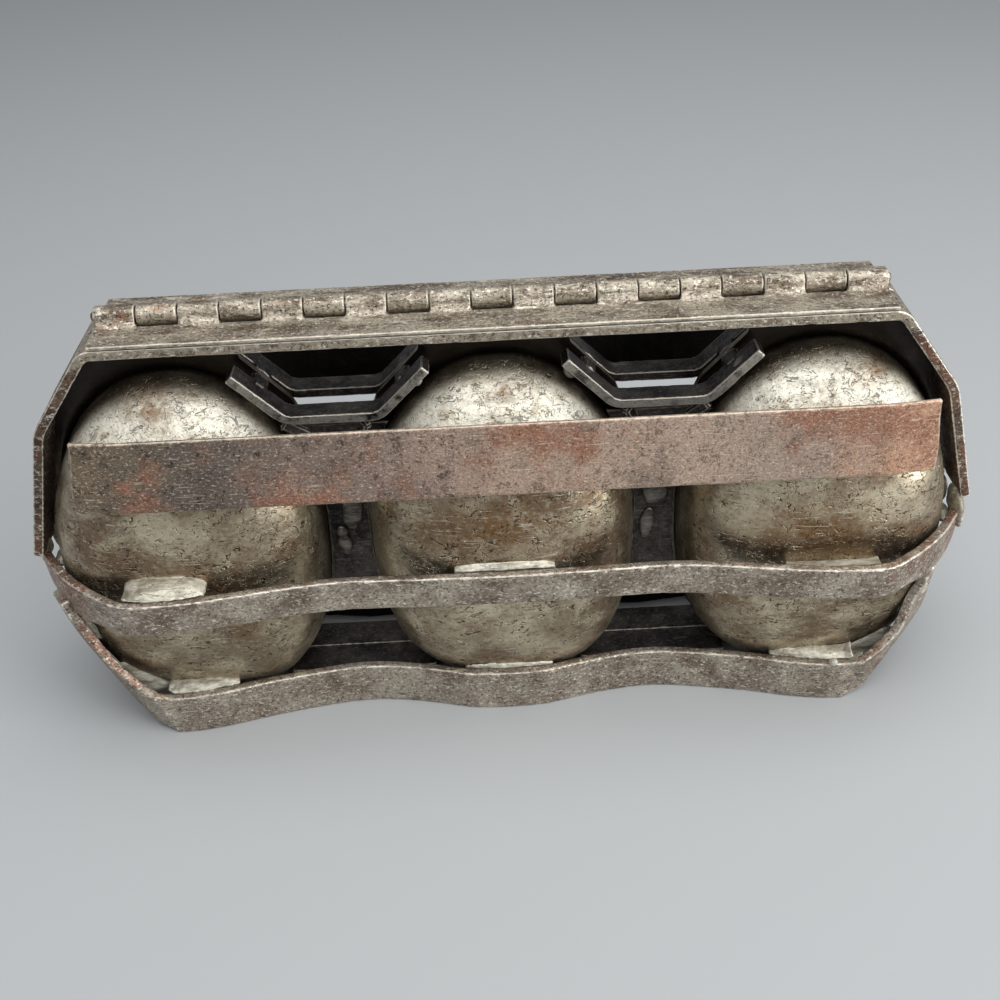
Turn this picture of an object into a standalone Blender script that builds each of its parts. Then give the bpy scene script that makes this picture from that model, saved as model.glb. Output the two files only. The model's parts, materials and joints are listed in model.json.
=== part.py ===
"""Hinged chocolate mould for three half-egg pairs, standing closed on its bottom straps.

Two mirrored halves fold about one long rolled-knuckle hinge. Each half holds three drawn egg shells in a
frame of bent bar: a hooped frame band, crown, middle and bottom straps, ties and webs between the eggs.

X runs along the hinge, the front half is on the -Y side, Z is up and the floor is at Z = 0.
Shapes are drawn for the front half, whose Y is negative, and mirrored for the rear one.
"""

import math
from dataclasses import dataclass

import bmesh
import bpy
from mathutils import Matrix, Vector

MM = 0.001
FIT = 0.3 * MM

# Hinge
KNUCKLES = 19
KNUCKLE_LENGTH = 12.7 * MM
KNUCKLE_SPLIT = 0.4 * MM
BARREL_RADIUS = 3.3 * MM
LEAF_THICKNESS = 1.3 * MM
LEAF_WIDTH = 16.6 * MM
NOTCH_DEPTH = BARREL_RADIUS + 0.6 * MM
CURL_TURN = math.radians(284)
CURL_STEPS = 12
PIN_RADIUS = 1.6 * MM
PIN_STICKS_OUT = 1.4 * MM
PIN_HEIGHT = 143.7 * MM
HINGE_LENGTH = KNUCKLES * KNUCKLE_LENGTH

# Egg shells, outer sizes
EGG_HALF_WIDTH = 44.0 * MM
EGG_SPACING = 15.0 * MM
EGG_PITCH = 2 * EGG_HALF_WIDTH + EGG_SPACING
EGG_DEPTH = 33.2 * MM
EGG_CENTRE_HEIGHT = 65.4 * MM
EGG_RISE = 59.8 * MM
EGG_FALL = 63.6 * MM
EGG_TOP_FULLNESS = 2.0
EGG_LOW_FULLNESS = 2.6
EGG_SECTION_FULLNESS = 2.8
SHELL_WALL = 1.0 * MM
RIM_WIDTH = 0.9 * MM
RIM_SECTORS = 32
DOME_RINGS = 6

# Parting plane and bar stock
PARTING = 0.2 * MM
BAR = 3.2 * MM
BAND_WIDTH = 15.9 * MM
EDGE_SOFTENING = 0.45 * MM

# Frame band, outer face
BAND_TOP = PIN_HEIGHT - BARREL_RADIUS - FIT
BAND_CORNER = 123.3 * MM
SHOULDER = (143.0 * MM, 113.0 * MM)
LEG_END = (154.2 * MM, 66.5 * MM)
RIGHT_LEG_END = (153.6 * MM, 71.5 * MM)
CORNER_RADIUS = 7.0 * MM
SHOULDER_RADIUS = 16.0 * MM

# Crown straps
CROWN_TOP = 117.3 * MM
CROWN_HALF_LENGTH = 131.0 * MM
CROWN_BENT_END = 14.0 * MM
CROWN_DROOP = 1.6 * MM
CROWN_END_SLANT = 1.8 * MM
FRONT_CROWN_WIDTH = 25.4 * MM
FRONT_CROWN_THICKNESS = 1.6 * MM
REAR_CROWN_WIDTH = 15.9 * MM
REAR_CROWN_THICKNESS = 3.2 * MM

# Middle straps
MIDDLE_WIDTH = 12.4 * MM
MIDDLE_LEAN = 1.2 * MM
MIDDLE_TOP = LEG_END[1] - 1.2 * MM

# Bottom straps, which the mould stands on
BOTTOM_WIDTH = 15.9 * MM
LEG_CLEARANCE = 0.8 * MM
FRONT_BOTTOM_GAP_DEPTH = 22.0 * MM
REAR_BOTTOM_GAP_DEPTH = 27.0 * MM

# Ties and webs between neighbouring eggs
TIE_WIDTH = 8.0 * MM
TIE_BACK = 4.4 * MM
TIE_RUN = 14.0 * MM
TIE_REACH = 29.0 * MM
TIE_END_TOP = BAND_TOP - 12.6 * MM
TIE_RUN_TOP = TIE_END_TOP - 15.2 * MM
TIE_PAD_LENGTH = 7.0 * MM
TIE_PAD_THICKNESS = 3.0 * MM
TIE_PAD_SHARE = 0.62
LOW_TIE_TOP = 7.5 * MM
LOW_TIE_WIDTH = 12.7 * MM
WEB_CLEARANCE = 0.7 * MM
WEB_THICKNESS = 1.2 * MM
WEB_LOW = 40.0 * MM
WEB_TOP = 103.0 * MM
WEB_STATIONS = 8

# Flange plates that close the top of each shell up to the frame band
PLATE_TOP = BAND_TOP - BAR - 0.4 * MM
PLATE_HALF_TOP = 23.0 * MM
FLANGE_FACE = PARTING + SHELL_WALL

# Solder
SOLDER_GAP = 0.45 * MM
SHELL_HUG = 0.75 * MM
SOLDER_STATIONS = 7
ROOM_BEHIND = 2.0 * MM


@dataclass(frozen=True)
class Half:
    """One half of the mould: its name, the sign of its Y and the parts that differ between halves."""

    name: str
    sign: int
    first_knuckle: int
    crown_width: float
    crown_thickness: float
    bottom_gap_depth: float


FRONT = Half("front", -1, 0, FRONT_CROWN_WIDTH, FRONT_CROWN_THICKNESS, FRONT_BOTTOM_GAP_DEPTH)
REAR = Half("rear", 1, 1, REAR_CROWN_WIDTH, REAR_CROWN_THICKNESS, REAR_BOTTOM_GAP_DEPTH)

PLACES = ((-1, "left"), (0, "middle"), (1, "right"))

MATERIALS = {
    "tinned_shell": ((0.46, 0.42, 0.34, 1.0), 0.42, 0.9),
    "rusted_frame": ((0.27, 0.20, 0.17, 1.0), 0.62, 0.75),
    "crown_band": ((0.30, 0.21, 0.18, 1.0), 0.66, 0.6),
    "worn_strap": ((0.37, 0.33, 0.30, 1.0), 0.48, 0.85),
    "dark_tie": ((0.12, 0.11, 0.11, 1.0), 0.55, 0.8),
    "hinge_steel": ((0.52, 0.47, 0.38, 1.0), 0.46, 0.85),
    "pin_steel": ((0.40, 0.38, 0.35, 1.0), 0.35, 0.95),
    "solder": ((0.66, 0.64, 0.58, 1.0), 0.35, 0.9),
}


def clear_scene():
    """Removes every object, so that the script starts from an empty scene."""
    for thing in list(bpy.data.objects):
        bpy.data.objects.remove(thing, do_unlink=True)


def make_collection(name, hidden=False):
    """A collection linked to the scene."""
    made = bpy.data.collections.new(name)
    bpy.context.scene.collection.children.link(made)
    made.hide_render = hidden
    return made


def material(name):
    """The named Principled material, made once."""
    found = bpy.data.materials.get(name)
    if found:
        return found
    colour, roughness, metallic = MATERIALS[name]
    made = bpy.data.materials.new(name)
    made.use_nodes = True
    shader = made.node_tree.nodes["Principled BSDF"]
    shader.inputs["Base Color"].default_value = colour
    shader.inputs["Roughness"].default_value = roughness
    shader.inputs["Metallic"].default_value = metallic
    return made


def add_part(name, bm, half, finish, pivots):
    """Makes the bmesh an object of this half: mirrored for the rear one, and parented to the half's pivot."""
    if half.sign > 0:
        bmesh.ops.transform(bm, matrix=Matrix.Scale(-1, 4, Vector((0, 1, 0))), verts=bm.verts)
        bmesh.ops.reverse_faces(bm, faces=bm.faces)
    mesh = bpy.data.meshes.new(name)
    bm.to_mesh(mesh)
    bm.free()
    mesh.materials.append(material(finish))
    mesh.shade_smooth()
    mesh.set_sharp_from_angle(angle=math.radians(35))
    made = bpy.data.objects.new(name, mesh)
    bpy.data.collections["chocolate_mould"].objects.link(made)
    pivot = pivots[half.name]
    made.parent = pivot
    made.matrix_parent_inverse = pivot.matrix_world.inverted()
    return made


def soften(part):
    """Rounds a bar's long edges with one bevel step."""
    bevel = part.modifiers.new("soft_edges", "BEVEL")
    bevel.width = EDGE_SOFTENING
    bevel.segments = 1
    bevel.limit_method = "ANGLE"
    bevel.angle_limit = math.radians(50)


def rounded_path(points, radii, steps=5):
    """The polyline with each inner corner replaced by an arc of its radius."""
    made = [Vector(points[0])]
    for before, corner, after, radius in zip(points, points[1:], points[2:], radii):
        corner = Vector(corner)
        back = (Vector(before) - corner).normalized()
        on = (Vector(after) - corner).normalized()
        half_angle = back.angle(on) / 2
        reach = radius / math.tan(half_angle)
        centre = corner + (back + on).normalized() * (radius / math.sin(half_angle))
        start = corner + back * reach - centre
        turn = math.pi - 2 * half_angle
        spin = 1 if back.x * on.y - back.y * on.x < 0 else -1
        for k in range(steps + 1):
            angle = spin * turn * k / steps
            cos, sin = math.cos(angle), math.sin(angle)
            made.append(centre + Vector((start.x * cos - start.y * sin, start.x * sin + start.y * cos)))
    made.append(Vector(points[-1]))
    return made


def smooth_path(points, steps=4):
    """A Catmull-Rom curve through the points."""
    ends = [points[0]] + list(points) + [points[-1]]
    ends = [Vector(p) for p in ends]
    made = []
    for a, b, c, d in zip(ends, ends[1:], ends[2:], ends[3:]):
        for k in range(steps):
            t = k / steps
            made.append(
                0.5
                * (2 * b + (c - a) * t + (2 * a - 5 * b + 4 * c - d) * t * t + (3 * b - a - 3 * c + d) * t**3)
            )
    made.append(ends[-1])
    return made


def offset_path(path, distance):
    """The polyline moved sideways, to its left for a positive distance."""
    made = []
    for k, point in enumerate(path):
        before = path[max(k - 1, 0)]
        after = path[min(k + 1, len(path) - 1)]
        along = (after - before).normalized()
        made.append(point + Vector((-along.y, along.x)) * distance)
    return made


def ribbon(path, thickness):
    """The closed outline of a bar of this thickness whose outer face is the path, which it lies right of."""
    return list(path) + list(reversed(offset_path(path, -thickness)))


def extruded(outline, thickness, to_world):
    """A bmesh of the flat outline extruded by thickness, made as a filled 2D curve and moved by to_world."""
    curve = bpy.data.curves.new("outline", "CURVE")
    curve.dimensions = "2D"
    curve.fill_mode = "BOTH"
    curve.extrude = thickness / 2
    spline = curve.splines.new("POLY")
    spline.points.add(len(outline) - 1)
    for point, at in zip(spline.points, outline):
        point.co = (at[0], at[1], 0, 1)
    spline.use_cyclic_u = True
    guide = bpy.data.objects.new("outline", curve)
    bpy.context.scene.collection.objects.link(guide)
    bpy.context.view_layer.update()
    graph = bpy.context.evaluated_depsgraph_get()
    mesh = bpy.data.meshes.new_from_object(guide.evaluated_get(graph))
    bpy.data.objects.remove(guide)
    bm = bmesh.new()
    bm.from_mesh(mesh)
    bpy.data.meshes.remove(mesh)
    bmesh.ops.remove_doubles(bm, verts=bm.verts, dist=0.00001)
    bmesh.ops.transform(bm, matrix=to_world, verts=bm.verts)
    bmesh.ops.recalc_face_normals(bm, faces=bm.faces)
    return bm


def upright(near, far):
    """Takes an outline in X and Z, extruded along its normal, to the span of Y from -near to -far."""
    stand = Matrix.Rotation(math.pi / 2, 4, "X")
    return Matrix.Translation((0, -(near + far) / 2, 0)) @ stand


def level(low, top):
    """Takes an outline in X and Y, extruded upwards, to the span of Z from low to top."""
    return Matrix.Translation((0, 0, (low + top) / 2))


def swept(sections):
    """A closed bmesh through equal rings of points, capped at both ends."""
    bm = bmesh.new()
    rings = [[bm.verts.new(point) for point in ring] for ring in sections]
    count = len(rings[0])
    for one, two in zip(rings, rings[1:]):
        for k in range(count):
            bm.faces.new((one[k], one[(k + 1) % count], two[(k + 1) % count], two[k]))
    bm.faces.new(list(reversed(rings[0])))
    bm.faces.new(rings[-1])
    bmesh.ops.recalc_face_normals(bm, faces=bm.faces)
    return bm


def egg_reach(rise):
    """Half length and fullness of the egg above its widest height, or below it."""
    return (EGG_RISE, EGG_TOP_FULLNESS) if rise > 0 else (EGG_FALL, EGG_LOW_FULLNESS)


def egg_share(height, wall=0.0):
    """The egg's half width at this height, as a share of its greatest one."""
    length, fullness = egg_reach(height - EGG_CENTRE_HEIGHT)
    rise = abs(height - EGG_CENTRE_HEIGHT) / (length - wall)
    return max(1 - rise**fullness, 0) ** (1 / fullness)


def egg_depth(across, height, wall=0.0):
    """How far the shell stands off the parting plane at this place, a wall's thickness in."""
    wide = abs(across) / (EGG_HALF_WIDTH - wall)
    left = egg_share(height, wall) ** EGG_SECTION_FULLNESS - wide**EGG_SECTION_FULLNESS
    return PARTING + (EGG_DEPTH - wall) * max(left, 0) ** (1 / EGG_SECTION_FULLNESS)


def egg_surface(turn, lift, wall):
    """A point of the shell a wall's thickness in: turn goes round the rim and lift climbs to the crown."""
    length, fullness = egg_reach(math.sin(turn))
    reach = (abs(math.cos(turn)) ** fullness + abs(math.sin(turn)) ** fullness) ** (-1 / fullness) * math.cos(lift)
    across = (EGG_HALF_WIDTH - wall) * reach * math.cos(turn)
    height = EGG_CENTRE_HEIGHT + (length - wall) * reach * math.sin(turn)
    depth = egg_depth(across, height, wall) if lift > 0 else PARTING
    return Vector((across, -depth, height))


def inner_side():
    """Flange outline beside a neighbouring egg, top to bottom, as distance across and height."""
    tie_face = EGG_PITCH / 2 - TIE_RUN
    return [
        (PLATE_HALF_TOP, PLATE_TOP),
        (PLATE_HALF_TOP, TIE_END_TOP + 1.0 * MM),
        (tie_face + 0.6 * MM, TIE_RUN_TOP),
        (EGG_HALF_WIDTH + RIM_WIDTH, WEB_TOP - 6.0 * MM),
    ]


def outer_side():
    """Flange outline beside the frame band, top to bottom, as distance across from an end egg's centre."""
    clear = BAR + FIT
    shoulder = (SHOULDER[0] - EGG_PITCH - clear, SHOULDER[1] - 1.6 * MM)
    leg = (LEG_END[0] - EGG_PITCH - clear - 0.5 * MM, LEG_END[1] + 1.0 * MM)
    corner = (BAND_CORNER - EGG_PITCH - 2.4 * MM, PLATE_TOP)
    return [corner, shoulder, leg]


def flange_outline(left_side, right_side):
    """The whole flange outline, closed: the two sides and a rim that follows the lower half of the egg."""
    rim = []
    for k in range(1, 24):
        turn = -math.pi * k / 24
        at = egg_surface(turn, 0, -RIM_WIDTH)
        rim.append((at.x, at.z))
    right = list(right_side)
    left = [(-x, z) for x, z in reversed(left_side)]
    return right + rim + left


def reach_to(outline, turn):
    """Where the line from the egg's centre through its rim, at this turn, crosses the closed outline."""
    centre = Vector((0, EGG_CENTRE_HEIGHT))
    aim = Vector((EGG_HALF_WIDTH * math.cos(turn), egg_reach(math.sin(turn))[0] * math.sin(turn)))
    best = 1.0
    for a, b in zip(outline, outline[1:] + outline[:1]):
        a = Vector(a) - centre
        side = Vector(b) - centre - a
        across = aim.x * side.y - aim.y * side.x
        if across == 0:
            continue
        far = (a.x * side.y - a.y * side.x) / across
        share = (a.x * aim.y - a.y * aim.x) / across
        if far > 0 and 0 <= share <= 1:
            best = max(best, far)
    return centre + aim * best


def rim_turns(corners):
    """Even turns round the egg, each corner of the flange taking the place of the turn nearest to it."""
    turns = [2 * math.pi * (k + 0.5) / RIM_SECTORS for k in range(RIM_SECTORS)]
    for x, z in corners:
        rise = z - EGG_CENTRE_HEIGHT
        turn = math.atan2(rise / egg_reach(rise)[0], x / EGG_HALF_WIDTH) % (2 * math.pi)
        nearest = min(range(RIM_SECTORS), key=lambda k: abs((turns[k] - turn + math.pi) % (2 * math.pi) - math.pi))
        turns[nearest] = turn
    return sorted(turns)


def shell(name, place, half, pivots):
    """A drawn half-egg shell with its flange: an open surface of the cavity, thickened outwards."""
    centre_x = place * EGG_PITCH
    left = outer_side() if place < 0 else inner_side()
    right = outer_side() if place > 0 else inner_side()
    outline = flange_outline(left, right)
    corners = right + [(-x, z) for x, z in left]
    turns = rim_turns(corners)
    bm = bmesh.new()
    rings = []
    for turn in turns:
        edge = reach_to(outline, turn)
        column = [bm.verts.new((centre_x + edge.x, -PARTING, edge.y))]
        for k in range(DOME_RINGS):
            at = egg_surface(turn, math.pi / 2 * k / DOME_RINGS, SHELL_WALL)
            column.append(bm.verts.new((centre_x + at.x, at.y, at.z)))
        rings.append(column)
    crown = bm.verts.new((centre_x, -egg_depth(0, EGG_CENTRE_HEIGHT, SHELL_WALL), EGG_CENTRE_HEIGHT))
    for one, two in zip(rings, rings[1:] + rings[:1]):
        for k in range(DOME_RINGS):
            bm.faces.new((one[k], one[k + 1], two[k + 1], two[k]))
        bm.faces.new((one[-1], crown, two[-1]))
    bmesh.ops.recalc_face_normals(bm, faces=bm.faces)
    if sum(face.normal.y * face.calc_area() for face in bm.faces) > 0:
        bmesh.ops.reverse_faces(bm, faces=bm.faces)
    made = add_part(name, bm, half, "tinned_shell", pivots)
    wall = made.modifiers.new("wall", "SOLIDIFY")
    wall.thickness = SHELL_WALL
    wall.offset = 1
    wall.use_even_offset = True
    return made


def frame_band(half, pivots):
    """The hooped bar round the top: a straight run under the hinge, two diagonals and two legs."""
    points = [
        (-LEG_END[0], LEG_END[1]),
        (-SHOULDER[0], SHOULDER[1]),
        (-BAND_CORNER, BAND_TOP),
        (BAND_CORNER, BAND_TOP),
        SHOULDER,
        RIGHT_LEG_END,
    ]
    path = rounded_path(points, [SHOULDER_RADIUS, CORNER_RADIUS, CORNER_RADIUS, SHOULDER_RADIUS])
    bm = extruded(ribbon(path, BAR), BAND_WIDTH, upright(PARTING, PARTING + BAND_WIDTH))
    soften(add_part(half.name + "_frame_band", bm, half, "rusted_frame", pivots))


def crown_face(half):
    """Inner face of the crown strap, off the parting plane: it rests on the shells at its lower edge."""
    return egg_depth(0, CROWN_TOP - half.crown_width) + FIT + 0.1 * MM


def crown_path(half):
    """Plan of the crown strap's outer face: straight, with its ends bent a little back towards the eggs."""
    outer = crown_face(half) + half.crown_thickness
    bend = CROWN_HALF_LENGTH - CROWN_BENT_END
    return [
        Vector((-CROWN_HALF_LENGTH, CROWN_DROOP - outer)),
        Vector((-bend, -outer)),
        Vector((bend, -outer)),
        Vector((CROWN_HALF_LENGTH, CROWN_DROOP - outer)),
    ]


def crown_strap(half, pivots):
    """The straight strap across the three crowns, its ends cut a little aslant."""
    path = crown_path(half)
    low = CROWN_TOP - half.crown_width
    sections = []
    for outer, inner in zip(path, offset_path(path, half.crown_thickness)):
        slant = math.copysign(CROWN_END_SLANT, outer.x) if abs(outer.x) == CROWN_HALF_LENGTH else 0.0
        ring = []
        for point, height, shift in ((outer, CROWN_TOP, -slant), (outer, low, slant), (inner, low, slant), (inner, CROWN_TOP, -slant)):
            ring.append(Vector((point.x + shift, point.y, height)))
        sections.append(ring)
    soften(add_part(half.name + "_crown_strap", swept(sections), half, "crown_band", pivots))


def both_ways(points):
    """A path from the middle to one end, continued to the other end by symmetry."""
    return [(-x, y) for x, y in reversed(points[1:])] + list(points)


def middle_path():
    """Plan of the middle strap's outer top edge, from one frame leg round the three eggs to the other."""
    half_path = [
        (0.0, -38.2 * MM),
        (26 * MM, -37.8 * MM),
        (50 * MM, -36.9 * MM),
        (66 * MM, -38.3 * MM),
        (82 * MM, -41.0 * MM),
        (98 * MM, -43.6 * MM),
        (112 * MM, -44.6 * MM),
        (121 * MM, -44.0 * MM),
        (127.5 * MM, -40.3 * MM),
        (135 * MM, -34.6 * MM),
        (142.5 * MM, -27.4 * MM),
        (149.5 * MM, -18.2 * MM),
        (154.8 * MM, -9.2 * MM),
    ]
    return smooth_path(both_ways(half_path), 2)


def middle_strap(half, pivots):
    """The wavy strap round the fronts of the eggs, tipped a little so that its top edge stands further out."""
    path = middle_path()
    low = Vector((0, 0, -MIDDLE_WIDTH))
    sections = []
    for outer, inner in zip(path, offset_path(path, BAR)):
        out = (outer - inner).normalized().to_3d()
        lean = -out * MIDDLE_LEAN
        outer = outer.to_3d() + Vector((0, 0, MIDDLE_TOP))
        inner = inner.to_3d() + Vector((0, 0, MIDDLE_TOP))
        sections.append((outer, outer + lean + low, inner + lean + low, inner))
    soften(add_part(half.name + "_middle_strap", swept(sections), half, "worn_strap", pivots))


def bottom_run(half):
    """Plan of the bottom strap's outer face along the front, from its centre to the corner."""
    low = half.bottom_gap_depth
    return [
        (0.0, -29.2 * MM),
        (13 * MM, -28.6 * MM),
        (25 * MM, -(low + 29 * MM) / 2),
        (38 * MM, -low - 0.9 * MM),
        (51 * MM, -low),
        (66 * MM, -low - 2.0 * MM),
        (84 * MM, -(low + 33.4 * MM) / 2),
        (96 * MM, -31.0 * MM),
        (107 * MM, -33.0 * MM),
        (115 * MM, -33.4 * MM),
    ]


def bottom_stations(half):
    """Frames along half of the bottom strap: outer face point, direction across the bar, outward normal."""
    run = smooth_path(bottom_run(half), 2)
    middle_z = BOTTOM_WIDTH / 2
    stations = []
    for k, at in enumerate(run):
        after = run[min(k + 1, len(run) - 1)]
        before = run[max(k - 1, 0)]
        along = (after - before).normalized()
        stations.append((Vector((at.x, at.y, middle_z)), Vector((0, 0, 1)), Vector((along.y, -along.x, 0))))
    leg = [
        ((121.5, -31.6, 10.2), (-0.16, -0.30, 0.94), (0.34, -0.90, -0.24)),
        ((127.5, -28.6, 15.0), (-0.30, -0.52, 0.80), (0.60, -0.74, -0.30)),
        ((134.0, -25.8, 22.5), (-0.38, -0.66, 0.65), (0.70, -0.64, -0.32)),
        ((139.8, -23.8, 32.0), (-0.40, -0.72, 0.56), (0.76, -0.58, -0.29)),
        ((144.6, -22.8, 41.5), (-0.42, -0.76, 0.50), (0.80, -0.55, -0.22)),
        ((146.9, -22.4, 48.4), (-0.42, -0.76, 0.50), (0.80, -0.55, -0.22)),
    ]
    for at, across, out in leg:
        out = Vector(out).normalized()
        across = Vector(across)
        across = (across - out * across.dot(out)).normalized()
        stations.append((Vector(at) * MM + out * LEG_CLEARANCE, across, out))
    return stations


def bottom_strap(half, pivots):
    """The wavy foot strap, which turns back and up beside the end eggs to meet the middle strap."""
    sections = []
    right = bottom_stations(half)
    flip = Matrix.Scale(-1, 3, Vector((1, 0, 0)))
    left = [(flip @ at, flip @ across, flip @ out) for at, across, out in reversed(right[1:])]
    for at, across, out in left + right:
        wide = across * (BOTTOM_WIDTH / 2)
        inner = at - out * BAR
        sections.append((at + wide, at - wide, inner - wide, inner + wide))
    made = add_part(half.name + "_bottom_strap", swept(sections), half, "worn_strap", pivots)
    soften(made)


def solder_pad(side, end):
    """The lump of solder that holds one raised end of a top tie to the flange behind it."""
    near = FLANGE_FACE + FIT
    deep = TIE_BACK + TIE_WIDTH / 4 - near
    x = side * EGG_PITCH / 2 + end * (TIE_RUN + (TIE_REACH - TIE_RUN) * TIE_PAD_SHARE - 1.0 * MM)
    height = TIE_RUN_TOP + (TIE_END_TOP - TIE_RUN_TOP) * TIE_PAD_SHARE - BAR / 2
    place = Matrix.Translation((x, -near - deep / 2, height))
    tilt = Matrix.Rotation(-end * math.radians(45), 4, "Y")
    size = Matrix.Diagonal((TIE_PAD_LENGTH, deep, TIE_PAD_THICKNESS, 1))
    lie = Matrix.Rotation(math.pi / 2, 4, "X")
    bm = bmesh.new()
    bmesh.ops.create_cone(
        bm, cap_ends=True, segments=8, radius1=0.5, radius2=0.38, depth=1.0, matrix=place @ tilt @ size @ lie
    )
    return bm


def join(part, bm, half, pivots):
    """Unites a part with one more shape, drawn for the front half."""
    cutter = add_part(part.name + "_joined", bm, half, "solder", pivots)
    bpy.data.collections["chocolate_mould"].objects.unlink(cutter)
    bpy.data.collections["cutters"].objects.link(cutter)
    cutter.display_type = "WIRE"
    cutter.hide_render = True
    union = part.modifiers.new("solder", "BOOLEAN")
    union.operation = "UNION"
    union.solver = "EXACT"
    union.object = cutter


def top_tie(side, half, pivots):
    """The trough-shaped strip between two shells, soldered to the flange plates by its raised ends."""
    middle = side * EGG_PITCH / 2
    points = [
        (middle - TIE_REACH, TIE_END_TOP),
        (middle - TIE_RUN, TIE_RUN_TOP),
        (middle + TIE_RUN, TIE_RUN_TOP),
        (middle + TIE_REACH, TIE_END_TOP),
    ]
    path = rounded_path(points, [4.5 * MM, 4.5 * MM], 4)
    bm = extruded(ribbon(path, BAR), TIE_WIDTH, upright(TIE_BACK, TIE_BACK + TIE_WIDTH))
    where = "left" if side < 0 else "right"
    tie = add_part(f"{half.name}_top_tie_{where}", bm, half, "dark_tie", pivots)
    soften(tie)
    for end in (-1, 1):
        join(tie, solder_pad(side, end), half, pivots)


def low_tie(side, half, pivots):
    """The straight strip low between two shells, from rim to rim."""
    middle = side * EGG_PITCH / 2
    reach = EGG_PITCH / 2 - EGG_HALF_WIDTH * egg_share(LOW_TIE_TOP) - RIM_WIDTH - FIT
    low = LOW_TIE_TOP - BAR
    outline = [(middle - reach, low), (middle + reach, low), (middle + reach, LOW_TIE_TOP), (middle - reach, LOW_TIE_TOP)]
    bm = extruded(outline, LOW_TIE_WIDTH, upright(PARTING, PARTING + LOW_TIE_WIDTH))
    where = "left" if side < 0 else "right"
    soften(add_part(f"{half.name}_low_tie_{where}", bm, half, "dark_tie", pivots))


def web(side, half, pivots):
    """The plate that joins the flange rims of two shells along their middle height."""
    middle = side * EGG_PITCH / 2
    edge = []
    for k in range(WEB_STATIONS):
        height = WEB_LOW + (WEB_TOP - WEB_LOW) * k / (WEB_STATIONS - 1)
        edge.append((EGG_PITCH / 2 - EGG_HALF_WIDTH * egg_share(height) - WEB_CLEARANCE, height))
    outline = [(middle + wide, height) for wide, height in edge]
    outline += [(middle - wide, height) for wide, height in reversed(edge)]
    near = FLANGE_FACE + FIT
    bm = extruded(outline, WEB_THICKNESS, upright(near, near + WEB_THICKNESS))
    where = "left" if side < 0 else "right"
    add_part(f"{half.name}_web_{where}", bm, half, "dark_tie", pivots)


def comb_outline(half):
    """Plan of a hinge leaf: a strip with one tooth for each of its own knuckles and a notch for each other."""
    start = -HINGE_LENGTH / 2
    points = [(start, -LEAF_WIDTH), (-start, -LEAF_WIDTH)]
    for k in reversed(range(KNUCKLES)):
        low = start + k * KNUCKLE_LENGTH
        high = low + KNUCKLE_LENGTH
        own = k % 2 == half.first_knuckle
        slack = KNUCKLE_SPLIT / 2 if own else -KNUCKLE_SPLIT / 2
        edge = 0.0 if own else -NOTCH_DEPTH
        first = high if k == KNUCKLES - 1 else high - slack
        last = low if k == 0 else low + slack
        points += [(first, edge), (last, edge)]
    return points


def hinge_leaf(half, pivots):
    """A hinge leaf cut as a comb, with each tooth rolled round the pin into a knuckle."""
    low = PIN_HEIGHT - BARREL_RADIUS
    bm = extruded(comb_outline(half), LEAF_THICKNESS, level(low, low + LEAF_THICKNESS))
    bm.faces.ensure_lookup_table()
    bmesh.ops.dissolve_limit(bm, angle_limit=math.radians(1), verts=bm.verts, edges=bm.edges)
    tips = [f for f in bm.faces if abs(f.normal.y) > 0.9 and abs(f.calc_center_median().y) < 0.01 * MM]
    bmesh.ops.spin(
        bm,
        geom=tips,
        cent=(0, 0, PIN_HEIGHT),
        axis=(1, 0, 0),
        angle=CURL_TURN,
        steps=CURL_STEPS,
        use_merge=False,
        use_duplicate=False,
    )
    bmesh.ops.delete(bm, geom=[f for f in tips if f.is_valid], context="FACES_ONLY")
    bmesh.ops.recalc_face_normals(bm, faces=bm.faces)
    add_part(half.name + "_hinge_leaf", bm, half, "hinge_steel", pivots)


def hinge_pin(pivots):
    """The pin through all knuckles, turned with domed ends."""
    reach = HINGE_LENGTH / 2 + PIN_STICKS_OUT
    dome = 0.8 * MM
    half_profile = [(PIN_RADIUS, reach - dome), (PIN_RADIUS * 0.75, reach - dome * 0.3), (0.0, reach)]
    profile = [(r, z) for r, z in reversed(half_profile)] + [(r, -z) for r, z in half_profile]
    mesh = bpy.data.meshes.new("hinge_pin")
    mesh.from_pydata([(r, 0, z) for r, z in profile], [(k, k + 1) for k in range(len(profile) - 1)], [])
    mesh.materials.append(material("pin_steel"))
    pin = bpy.data.objects.new("hinge_pin", mesh)
    bpy.data.collections["chocolate_mould"].objects.link(pin)
    turn = pin.modifiers.new("turned", "SCREW")
    turn.steps = 16
    turn.render_steps = 16
    turn.use_merge_vertices = True
    turn.merge_threshold = 0.00001
    turn.use_smooth_shade = True
    pin.rotation_euler = (0, math.pi / 2, 0)
    pin.location = (0, 0, PIN_HEIGHT)
    pin.parent = pivots["rear"]
    pin.matrix_parent_inverse = pivots["rear"].matrix_world.inverted()


def strap_inner(path, thickness):
    """A function from X to how far the inner face of a strap, given by its outer path, stands off the plane."""
    inner = offset_path([Vector(point) for point in path], thickness)

    def at(x):
        for a, b in zip(inner, inner[1:]):
            if a.x <= x <= b.x:
                return -a.lerp(b, (x - a.x) / (b.x - a.x)).y
        return -inner[-1].y

    return at


def fillet_ring(x, egg_x, heights, inner, thickness, swell):
    """One section of a fillet: up behind the strap, over its top edge and down the shell."""
    low, top, climb = heights
    face = inner - SOLDER_GAP
    rest = top + FIT
    peak = rest + climb * swell
    lap = inner + thickness * 0.7 * swell
    ring = [(lap, rest), (face, rest), (face, low)]
    for height in (low, (low + rest) / 2, rest, peak):
        ring.append((egg_depth(x - egg_x, height) + SHELL_HUG, height))
    ring.append(((lap + ring[-1][0]) / 2, rest + climb * 0.72 * swell))
    return [Vector((x, -depth, height)) for depth, height in ring]


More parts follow.
